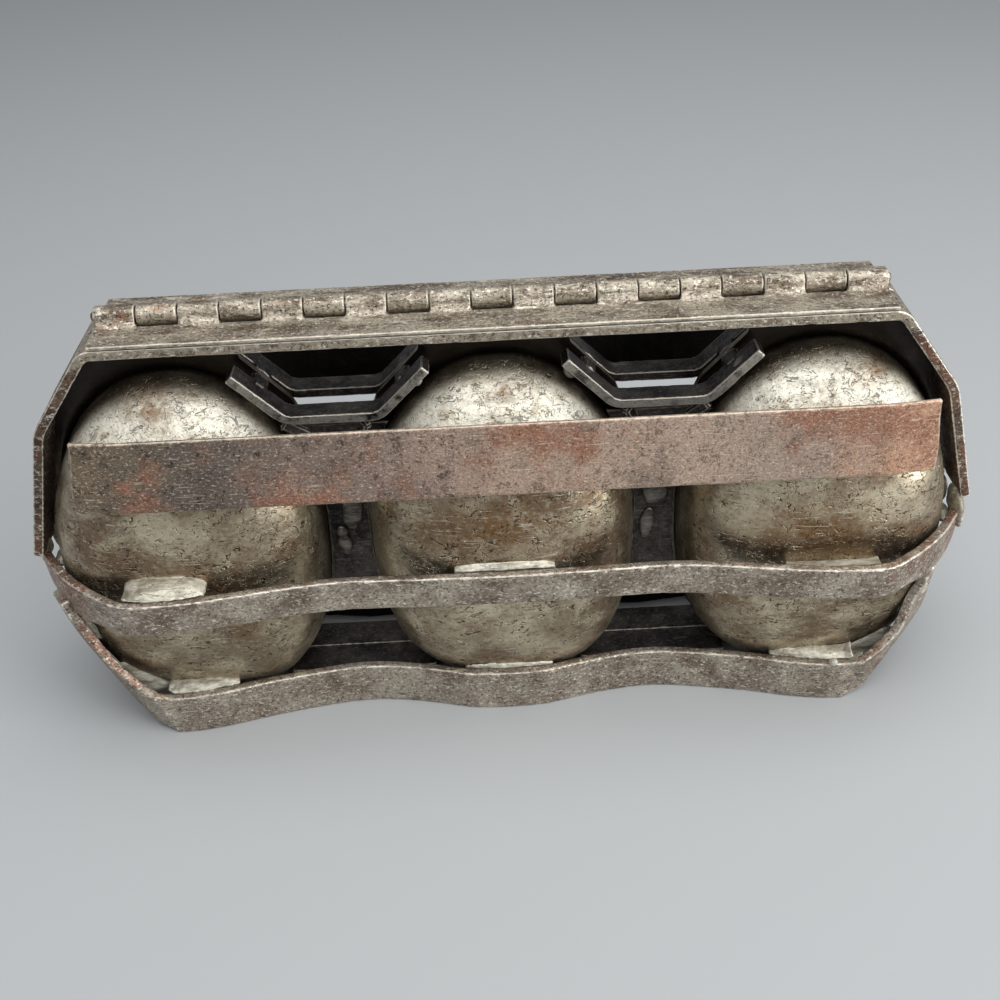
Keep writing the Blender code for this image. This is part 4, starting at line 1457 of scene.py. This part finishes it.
@dataclass
class BarFrame:
    """Frame bands, straps, ties and webs: CAD bars made again with chips, dents and rubbed edges.

    A Span says where a mark begins and where it is full: in millimetres, or as a share for a facing.
    """

    frame: dict
    finishes: Finishes
    bar: Skin = Skin()
    light: Skin = Skin(voxel=0.4 * MM, wave=0.1 * MM, chips=0.25 * MM)
    sheet: Skin = Skin(voxel=0.4 * MM, wave=0.12 * MM, wave_size=30 * MM, chips=0.22 * MM, pits=0.03 * MM)
    rusty_ends: Span = (105, 140)
    rusty_legs: Span = (137, 130)
    bare_heights: Span = (133, 136)
    # Where painted shade darkens the bars in the hollow under the hinge.
    sooty_heights: Span = (100, 120)
    sooty_depths: Span = (1.5, 4)
    sooty_facing: Span = (0.2, 0.7)
    # Facing of the painted highlight on the top ties.
    lip_facing: Span = (0.5, 0.8)

    def ends_rusty(self, points: Array) -> Array:
        """Rust gathers towards the two ends of the mould."""
        return step_mm(np.abs(points[:, 0]), *self.rusty_ends)

    def legs_rusty(self, points: Array) -> Array:
        """Rust everywhere but on the run under the hinge."""
        return step_mm(points[:, 2], *self.rusty_legs)

    def sooty(self, points: Array, normals: Array) -> Array:
        """Painted shade in the hollow under the hinge.

        Args:
            points: Places on a bar.
            normals: Its normals there.

        Returns:
            Values up to 1, on faces that look down or towards the parting plane.
        """
        inward = smooth_step(-normals[:, 1] * np.sign(points[:, 1]), *self.sooty_facing)
        inward = inward * step_mm(np.abs(points[:, 1]), *self.sooty_depths)
        down = smooth_step(-normals[:, 2], *self.sooty_facing) * step_mm(points[:, 2], *self.sooty_heights)
        return np.maximum(inward, down)

    @staticmethod
    def bent(node: str, points: Array) -> Array:
        """How far the hand-bent ends of the front half's straps differ from the even ones of the solids.

        Args:
            node: Which strap, without its half.
            points: Places on it.

        Returns:
            Shift of each point, in millimetres.
        """
        x, y, z = points.T
        shift = np.zeros_like(points)
        if node == "crown_strap":
            rise = step_mm(z, 97, 116)
            shift[:, 0] = step_mm(-x, 100, 138) * 3.0 * rise + step_mm(x, 100, 138) * (3.6 - 1.7 * rise)
        elif node == "middle_strap":
            shift[:, 2] = -2.4 * step_mm(np.abs(x), 126, 142) * step_mm(z, 61, 54)
        elif node == "bottom_strap":
            left = step_mm(-x, 100, 120) * step_mm(z, 30, 46) * (0.5 + 0.5 * step_mm(y, -27, -17))
            right = step_mm(x, 100, 120) * step_mm(z, 26, 42)
            shift = left[:, None] * np.array([-2.2, 3.0, 5.0]) + right[:, None] * np.array([-3.4, 0.6, 0.0])
        return shift

    def works(self) -> list[BarWork]:
        """The kinds of bar in one half.

        Returns:
            The same kinds for either half, in the order that they are built.
        """
        finishes = self.finishes
        works = [
            BarWork("frame_band", finishes.frame, self.bar, self.legs_rusty),
            BarWork("crown_strap", finishes.crown, self.sheet),
            BarWork("middle_strap", finishes.strap, self.bar, self.ends_rusty),
            BarWork("bottom_strap", finishes.strap, self.bar, self.ends_rusty),
        ]
        for side in ("left", "right"):
            kinds = (("top_tie", self.light), ("low_tie", self.light), ("web", self.sheet))
            works += [BarWork(f"{kind}_{side}", finishes.tie, skin) for kind, skin in kinds]
        return works

    def build(self) -> None:
        """Makes and dresses every bar of both halves."""
        for half, (number, work) in product(Half, enumerate(self.works())):
            node = f"{half.prefix}_{work.node}"
            mesh = even_mesh(merged_copy(node + "_worn", self.frame["nodes"][node]), work.skin.voxel)
            points = points_of(mesh)
            if half is Half.FRONT:
                points = points + self.bent(work.node, points) * MM
                move_points(mesh, points)
            normals = normals_of(mesh)
            # Painted highlight: marks the outward faces of the top ties.
            lip = smooth_step(half.sign * normals[:, 1], *self.lip_facing) * work.node.startswith("top_tie")
            bare = step_mm(points[:, 2], *self.bare_heights)
            # Stores the painted shade for faces in the hollow under the hinge.
            set_values(mesh, rusty=work.rusty(points), bare=bare, soot=self.sooty(points, normals), lip=lip)
            weather(mesh, work.skin, 100 + number + 40 * half.sign)
            wear_in(node + "_worn", mesh, half, work.dress, node)


class SeamRow:
    """Geometry Nodes group that sets one fillet at every second knuckle of a leaf."""

    COUNT = {Half.FRONT: 10, Half.REAR: 9}
    INPUTS = {"Fillet": "Object", "Count": "Int", "Start": "Vector", "Step": "Vector", "Finish": "Material"}

    def __init__(self) -> None:
        """Builds the group: a line of points, one instance at each, realized and dressed."""
        self.tree = bpy.data.node_groups.new("seam_row", "GeometryNodeTree")
        self.inputs = {}
        for name, kind in self.INPUTS.items():
            socket = self.tree.interface.new_socket(name, in_out="INPUT", socket_type=f"NodeSocket{kind}")
            self.inputs[name] = socket.identifier
        self.tree.interface.new_socket("Geometry", in_out="OUTPUT", socket_type="NodeSocketGeometry")
        w = Wiring(self.tree)
        entry, leave = w.add("NodeGroupInput").outputs, w.add("NodeGroupOutput")
        run = {"Count": entry["Count"], "Start Location": entry["Start"], "Offset": entry["Step"]}
        line = w.add("GeometryNodeMeshLine", run, mode="OFFSET").outputs["Mesh"]
        fillet = w.add("GeometryNodeObjectInfo", {"Object": entry["Fillet"]}).outputs["Geometry"]
        row = w.add("GeometryNodeInstanceOnPoints", {"Points": line, "Instance": fillet}).outputs[0]
        real = w.add("GeometryNodeRealizeInstances", {"Geometry": row}).outputs[0]
        dressed = w.add("GeometryNodeSetMaterial", {"Geometry": real, "Material": entry["Finish"]})
        w.feed(leave.inputs["Geometry"], dressed.outputs[0])

    def mesh(self, half: Half, pitch: float, fillet: bpy.types.Object, finish: bpy.types.Material) -> Mesh:
        """All fillets of one leaf.

        Args:
            half: Which leaf.
            pitch: Distance from one fillet to the next.
            fillet: The fillet at X = 0.
            finish: Its material.

        Returns:
            One plain mesh.
        """
        count = self.COUNT[half]
        row = new_object("seam_row", bpy.data.meshes.new("seam_row"))
        nodes = row.modifiers.new("seams", "NODES")
        nodes.node_group = self.tree
        values = (fillet, count, (-pitch * (count - 1) / 2, 0, 0), (pitch, 0, 0), finish)
        for label, value in zip(self.INPUTS, values):
            nodes[self.inputs[label]] = value
        made = evaluated_mesh(row)
        bpy.data.objects.remove(row)
        return made


@dataclass
class Hinge:
    """Both leaves with their rolled knuckles, tin in the seams, and the pin."""

    frame: dict
    finishes: Finishes
    knuckle: float = 12.7 * MM
    knuckle_gap: float = 0.25 * MM
    barrel: float = 3.3 * MM
    leaf_rise: float = 1.3 * MM
    seam_start: float = 0.72
    seam_top: float = 0.62
    seam_reach: float = 3.6 * MM
    seam_foot: float = 0.5 * MM
    seam_steps: int = 8
    rusty_end: Span = (-70, -125)
    skin: Skin = Skin(
        voxel=0.42 * MM, wave=0.1 * MM, wave_size=14 * MM, pits=0.1 * MM, chips=0.25 * MM, chip_size=3 * MM
    )
    pin_skin: Skin = Skin(voxel=0.36 * MM, wave=0.02 * MM, pits=0.03 * MM, chips=0.0)

    def seam_fillet(self, half: Half) -> bpy.types.Object:
        """The tin that fills the corner between one knuckle and its leaf, at X = 0.

        Args:
            half: Which leaf.

        Returns:
            An object with a closed mesh.
        """
        pin = sum(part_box("hinge_pin"), Vector()) / 2
        leaf_top = pin.z - self.barrel + self.leaf_rise
        high, start = pin.z + self.barrel * self.seam_top, self.barrel * self.seam_start
        ring = []
        for k in range(self.seam_steps + 1):
            share = k / self.seam_steps
            lift = (high - leaf_top) * (1 - math.sin(math.pi / 2 * share)) ** 1.25
            ring.append((start + self.seam_reach * share, leaf_top + lift))
        ring += [(start + self.seam_reach, leaf_top - self.seam_foot), (start, leaf_top - self.seam_foot)]
        reach = self.knuckle / 2 - self.knuckle_gap
        ends = [[(x, half.sign * y, z) for y, z in ring] for x in (-reach, reach)]
        return new_object("seam_fillet", closed_tube("seam_fillet", ends))

    def build(self) -> None:
        """Makes and dresses the leaves and the pin."""
        seams, dress = SeamRow(), self.finishes.hinge
        for half in Half:
            node = f"{half.prefix}_hinge_leaf"
            fillet = self.seam_fillet(half)
            row = new_object("seams", seams.mesh(half, 2 * self.knuckle, fillet, dress.material))
            mesh = even_mesh(merged_copy(node + "_worn", self.frame["nodes"][node], row), self.skin.voxel)
            bpy.data.objects.remove(row)
            bpy.data.objects.remove(fillet)
            set_values(mesh, rusty=0.7 * step_mm(points_of(mesh)[:, 0], *self.rusty_end))
            weather(mesh, self.skin, 71 + half.sign)
            wear_in(node + "_worn", mesh, half, dress, node)
        mesh = even_mesh(merged_copy("pin_worn", self.frame["nodes"]["hinge_pin"]), self.pin_skin.voxel)
        weather(mesh, self.pin_skin, 77)
        wear_in("hinge_pin_worn", mesh, Half.REAR, self.finishes.pin, "hinge_pin")


@dataclass(frozen=True)
class Bead:
    """One run of solder between a strap and a dome, in millimetres.

    shift and reach are its middle and half length along the strap. climb is how far above the strap's edge
    it meets the dome. plump is how full its surface is, from 0, hollow, to 1, swollen. lap is how far it
    covers the strap's edge, or 0 where it is sunk behind the strap.
    """

    strap: str
    place: Place
    shift: float
    reach: float
    climb: float
    plump: float
    lap: float = 0.6


class StrapEdge(NamedTuple):
    """A strap at one X: how far its inner face stands off the parting plane, its thickness and its top."""

    deep: float
    thick: float
    top: float


@dataclass(frozen=True)
class Lump:
    """A lump of solder on the front half: its middle and half lengths in millimetres, its tilt in degrees."""

    name: str
    place: Point
    size: Point
    turn: float

    def mesh(self) -> Mesh:
        """A smooth flattened ball, in its place.

        Returns:
            The new mesh.
        """
        bm = bmesh.new()
        bmesh.ops.create_icosphere(bm, subdivisions=4, radius=1.0)
        scale = Matrix.Diagonal((*(side * MM for side in self.size), 1))
        tilt = Matrix.Rotation(math.radians(self.turn), 4, "Y")
        place = Matrix.Translation(Vector(self.place) * MM)
        bmesh.ops.transform(bm, matrix=place @ tilt @ scale, verts=bm.verts)
        return mesh_from(bm, self.name)


@dataclass(frozen=True)
class Strut:
    """A small flat strut on the front half, in millimetres: its two ends and its section."""

    name: str
    head: Point
    foot: Point
    section: tuple[float, float] = (3.2, 4.4)
    rounding: float = 0.7

    def mesh(self) -> Mesh:
        """A bevelled bar from end to end.

        Returns:
            The new mesh.
        """
        head, foot = Vector(self.head) * MM, Vector(self.foot) * MM
        bm = bmesh.new()
        bmesh.ops.create_cube(bm, size=1.0)
        wide, thick = self.section
        size = Matrix.Diagonal((wide * MM, thick * MM, (foot - head).length, 1))
        turn = (foot - head).to_track_quat("Z", "Y").to_matrix().to_4x4()
        bmesh.ops.transform(bm, matrix=Matrix.Translation((head + foot) / 2) @ turn @ size, verts=bm.verts)
        bmesh.ops.bevel(bm, geom=bm.edges, offset=self.rounding * MM, segments=2, affect="EDGES")
        return mesh_from(bm, self.name)


@dataclass
class Solder:
    """The solder of both halves: beads along the straps, and lumps at the joints of the frame."""

    frame: dict
    finishes: Finishes
    form: EggForm = EggForm()
    stations: int = 64
    curve_steps: int = 11
    film: float = 0.1 * MM
    sink: float = 0.3 * MM
    sunk_start: float = -3.4 * MM
    most_cover: float = 0.7
    crest: float = 0.9 * MM
    root_least: float = 1.0 * MM
    root_more: float = 1.6 * MM
    probe: float = 8 * MM
    bead_skin: Skin = Skin(voxel=0.44 * MM, wave=0.45 * MM, wave_size=5 * MM, pits=0.3 * MM, chips=0.0)
    lump_skin: Skin = Skin(wave=0.9 * MM, wave_size=5 * MM, pits=0.3 * MM, pit_size=2 * MM, chips=0.0)
    strut_skin: Skin = Skin(voxel=0.3 * MM, wave=0.2 * MM, wave_size=5 * MM)

    STRAP_MIDDLE = {"crown": 105 * MM, "middle": 59 * MM, "bottom": 8 * MM}
    BEADS = (
        Bead("crown", Place.LEFT, 0.0, 21.0, -8.0, 0.1, 0.0),
        Bead("crown", Place.MIDDLE, 0.0, 21.0, -8.0, 0.1, 0.0),
        Bead("crown", Place.RIGHT, 0.0, 21.0, -8.0, 0.1, 0.0),
        Bead("middle", Place.LEFT, -5.0, 13.0, 3.2, 0.7, 1.6),
        Bead("middle", Place.MIDDLE, 0.0, 16.0, 2.4, 0.5, 0.8),
        Bead("middle", Place.RIGHT, 2.0, 15.0, -4.0, 0.1, 0.0),
        Bead("bottom", Place.LEFT, -2.0, 12.0, 2.8, 0.6, 0.8),
        Bead("bottom", Place.MIDDLE, 0.0, 15.0, 2.4, 0.5),
        Bead("bottom", Place.RIGHT, 4.0, 17.0, 3.0, 0.4),
    )
    LUMPS = (
        Lump("leg_lump_right", (151.6, -11.0, 64.5), (2.2, 6.0, 8.0), -10.0),
        Lump("leg_lump_left", (-152.0, -9.5, 64.5), (1.8, 4.5, 4.0), 8.0),
        Lump("end_film_right", (147.6, -8.5, 60.5), (2.3, 5.5, 2.4), 0.0),
        Lump("end_film_left", (-147.6, -8.5, 60.5), (2.3, 5.5, 2.4), 0.0),
        Lump("side_film_right", (147.4, -4.8, 66.5), (2.6, 2.4, 7.0), 0.0),
        Lump("side_film_left", (-147.4, -4.8, 65.5), (2.6, 2.4, 7.0), 0.0),
        Lump("leg_film_right", (136.0, -22.5, 36.0), (5.0, 2.6, 8.0), 38.0),
        Lump("leg_film_left", (-139.0, -22.5, 42.0), (4.5, 2.6, 7.0), -38.0),
        Lump("web_lump_left", (-50.0, -3.4, 69.0), (3.6, 1.5, 7.0), 4.0),
        Lump("web_lump_left_low", (-54.0, -3.2, 57.0), (2.4, 1.2, 6.0), -6.0),
        Lump("web_lump_right", (51.5, -3.4, 72.0), (4.4, 1.6, 6.5), -5.0),
        Lump("web_lump_right_low", (49.5, -3.2, 58.0), (2.6, 1.2, 6.0), 5.0),
        Lump("foot_film_right", (124.0, -25.2, 17.5), (11.0, 2.0, 5.0), -32.0),
        Lump("foot_film_left", (-126.0, -25.0, 19.0), (11.0, 1.8, 5.0), 36.0),
        Lump("foot_drop", (110.0, -33.5, 17.4), (1.2, 1.2, 1.1), 0.0),
        Lump("tie_shard_left", (-24.0, -8.5, 121.0), (2.4, 2.2, 1.5), -40.0),
        Lump("tie_shard_middle", (23.0, -8.5, 121.5), (2.4, 2.2, 1.6), 40.0),
        Lump("tie_shard_right", (76.5, -9.0, 121.0), (3.0, 2.6, 2.4), -30.0),
    )
    STRUTS = (
        Strut("strut_left_outer", (-68.0, -7.5, 107.5), (-60.5, -5.0, 101.0)),
        Strut("strut_left_inner", (-41.5, -7.5, 106.5), (-44.0, -5.0, 100.5)),
        Strut("strut_right_outer", (41.0, -7.5, 107.0), (43.5, -5.0, 101.0)),
        Strut("strut_right_inner", (67.0, -7.5, 107.0), (61.0, -5.0, 101.0)),
    )

    def strap_edge(self, tree: BVHTree, half: Half, x: float, middle: float) -> StrapEdge | None:
        """Where a strap's inner face and top edge are at this X.

        Args:
            tree: The strap's shape.
            half: Which half.
            x: Place along the strap.
            middle: A height inside the strap.

        Returns:
            The strap there, or None where it has turned away.
        """
        outward, up = Vector((0, half.sign, 0)), Vector((0, 0, 1))
        outer = tree.ray_cast(Vector((x, 0, middle)) + outward * 90 * MM, -outward)[0]
        if outer is None:
            return None
        inner = tree.ray_cast(outer - outward * self.probe, outward)[0]
        above = tree.ray_cast((outer + inner) / 2 + up * 100 * MM, -up)[0]
        return StrapEdge(abs(inner.y), abs(outer.y) - abs(inner.y), above.z)

    def section(self, bead: Bead, half: Half, edge: StrapEdge, x: float, swell: float) -> list[Point]:
        """One ring of a bead, from the strap's edge over to the dome and back beneath.

        Args:
            bead: The bead.
            half: Which half.
            edge: The strap at this X.
            x: Place along the strap.
            swell: Size of the ring, from 0 at the bead's ends to 1.

        Returns:
            Points of the ring.
        """
        deep, thick, top = edge
        sunk = bead.lap == 0
        cover = min(bead.lap * MM, thick * self.most_cover)
        start = (deep + cover * swell, top + (self.sunk_start if sunk else self.film))
        meet = top + bead.climb * MM * (1.0 if sunk else swell)
        stop = (self.form.dome(bead.place, x, meet) - self.sink, meet)
        full = (max(start[0], stop[0]) - self.film, max(start[1], stop[1]) + self.crest * swell)
        hollow = (stop[0] + (start[0] - stop[0]) * 0.4, min(start[1], stop[1]) + self.film)
        bend = tuple(a + (b - a) * bead.plump for a, b in zip(hollow, full))
        ring = []
        for k in range(self.curve_steps + 1):
            t = k / self.curve_steps
            weights = ((1 - t) ** 2, 2 * t * (1 - t), t * t)
            ring.append(tuple(sum(w * p for w, p in zip(weights, way)) for way in zip(start, bend, stop)))
        under = min(top, meet) - self.root_least - self.root_more * swell
        root = self.form.dome(bead.place, x, under) - self.sink
        back = max(deep - self.film / 2, root + self.film)
        ring += [(root, under), (back, under), (back, start[1] - 0.08 * MM)]
        return [(x, half.sign * y, z) for y, z in ring]

    def bead_mesh(self, name: str, bead: Bead, half: Half) -> Mesh:
        """A closed, tapering bead.

        Args:
            name: Name of the mesh.
            bead: The bead.
            half: Which half.

        Returns:
            The mesh, in its place.
        """
        strap = self.frame["nodes"][f"{half.prefix}_{bead.strap}_strap"].data
        points = [vertex.co.copy() for vertex in strap.vertices]
        tree = BVHTree.FromPolygons(points, [tuple(face.vertices) for face in strap.polygons])
        rings = []
        for k in range(self.stations + 1):
            share = 2 * k / self.stations - 1
            swell = max(1 - abs(share) ** 3, 0.0) ** 0.6 * 0.95 + 0.05
            x = bead.place.centre + (bead.shift + bead.reach * share) * MM
            edge = self.strap_edge(tree, half, x, self.STRAP_MIDDLE[bead.strap])
            if edge:
                rings.append(self.section(bead, half, edge, x, swell))
        return closed_tube(name, rings)

    def clear_shell(self, mesh: Mesh) -> None:
        """Pushes a lump out of the shell beside it, so that nothing of it shows inside the hollow.

        Args:
            mesh: The lump.
        """
        middle = points_of(mesh)[:, 0].mean()
        place = min(Place, key=lambda item: abs(middle - item.centre))
        grid = self.form.skin_grid(place, Half.FRONT, 0.0)
        turns, rings = grid.shape[:2]
        faces = []
        for t, r in product(range(turns), range(rings - 1)):
            here, there = t * rings + r, (t + 1) % turns * rings + r
            faces.append((here, here + 1, there + 1, there))
        tree = BVHTree.FromPolygons([Vector(point) for point in grid.reshape(-1, 3)], faces)
        heart = Vector((place.centre, 0, EGG_CENTRE_HEIGHT))
        for vertex in mesh.vertices:
            if abs(vertex.co.y) < self.form.dome(place, vertex.co.x, vertex.co.z) + self.sink:
                near, normal = tree.find_nearest(vertex.co)[:2]
                if normal.dot(near - heart) < 0:
                    normal = -normal
                vertex.co = near + normal * self.sink
        mesh.update()

    def build(self) -> None:
        """Makes and dresses every bead, lump and strut."""
        for half, (number, bead) in product(Half, enumerate(self.BEADS)):
            node = f"{half.prefix}_{bead.strap}_solder_{bead.place.side}"
            mesh = even_mesh(self.bead_mesh(node + "_run", bead, half), self.bead_skin.voxel)
            weather(mesh, self.bead_skin, 300 + number + 20 * half.sign)
            wear_in(node + "_run", mesh, half, self.finishes.solder, node)
        for number, lump in enumerate(self.LUMPS):
            mesh = lump.mesh()
            weather(mesh, self.lump_skin, 500 + number)
            self.clear_shell(mesh)
            dark = lump.name.startswith(("web", "tie"))
            wear_in(lump.name, mesh, Half.FRONT, self.finishes.old_solder if dark else self.finishes.solder)
        for number, strut in enumerate(self.STRUTS):
            mesh = even_mesh(strut.mesh(), self.strut_skin.voxel)
            weather(mesh, self.strut_skin, 600 + number)
            wear_in(strut.name, mesh, Half.FRONT, self.finishes.tie)


@dataclass(frozen=True)
class Lamp:
    """A square area lamp: where it hangs, its side and its watts."""

    name: str
    place: Point
    side: float
    power: float


@dataclass
class Studio:
    """Pale floor, soft lamps and the photograph's camera."""

    aim: Point = (0, 0, 0.07)
    lamps: tuple[Lamp, ...] = (
        Lamp("overhead", (0.06, -0.26, 1.08), 1.4, 14.2),
        Lamp("window", (1.05, -0.6, 0.4), 0.8, 12.0),
    )
    sky: Colour = srgb(235, 238, 242)
    sky_strength: float = 0.38
    floor_colour: Colour = srgb(172, 175, 176)
    floor_rough: float = 0.9
    floor_shine: float = 0.25
    floor_reach: float = 20.0

    def build(self) -> None:
        """Sets up everything that isn't part of the mould."""
        self.add_camera()
        self.add_floor()
        for lamp in self.lamps:
            self.add_lamp(lamp)
        self.add_world()
        bpy.context.scene.view_settings.view_transform = "Standard"

    def add_camera(self) -> None:
        """The camera, where the photograph was taken from."""
        lens = bpy.data.cameras.new("camera")
        lens.lens = CAMERA_LENS_MM
        lens.sensor_width = SENSOR_MM
        camera = new_object("camera", lens)
        turns = ((CAMERA_YAW, "Z"), (CAMERA_PITCH, "X"), (CAMERA_ROLL, "Z"))
        yaw, pitch, roll = (Matrix.Rotation(angle, 4, axis) for angle, axis in turns)
        camera.matrix_world = Matrix.Translation(CAMERA_PLACE) @ (yaw @ pitch @ roll)
        bpy.context.scene.camera = camera

    def add_floor(self) -> None:
        """A wide plain floor."""
        bm = bmesh.new()
        bmesh.ops.create_grid(bm, x_segments=1, y_segments=1, size=self.floor_reach)
        floor = new_object("floor", mesh_from(bm, "floor"))
        paint = bpy.data.materials.new("floor")
        paint.use_nodes = True
        shader = paint.node_tree.nodes["Principled BSDF"].inputs
        shader["Base Color"].default_value = self.floor_colour
        shader["Roughness"].default_value = self.floor_rough
        shader["Specular IOR Level"].default_value = self.floor_shine
        floor.data.materials.append(paint)

    def add_lamp(self, lamp: Lamp) -> None:
        """Hangs a lamp that looks at the mould.

        Args:
            lamp: The lamp.
        """
        light = bpy.data.lights.new(lamp.name, "AREA")
        light.energy = lamp.power
        light.size = lamp.side
        hung = new_object(lamp.name, light)
        hung.location = lamp.place
        hung.rotation_euler = (Vector(self.aim) - Vector(lamp.place)).to_track_quat("-Z", "Y").to_euler()

    def add_world(self) -> None:
        """Even light from all round."""
        world = bpy.data.worlds.new("studio")
        world.use_nodes = True
        sky = world.node_tree.nodes["Background"].inputs
        sky["Color"].default_value = self.sky
        sky["Strength"].default_value = self.sky_strength
        bpy.context.scene.world = world


def main() -> None:
    """Loads the frame, builds the studio and every piece, and logs each piece's face count."""
    logging.basicConfig(level=logging.INFO, format="%(name)s: %(message)s")
    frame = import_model()
    Studio().build()
    finishes = Finishes()
    EggShells(finishes.shell).build()
    BarFrame(frame, finishes).build()
    Hinge(frame, finishes).build()
    Solder(frame, finishes).build()


if __name__ == "__main__":
    main()
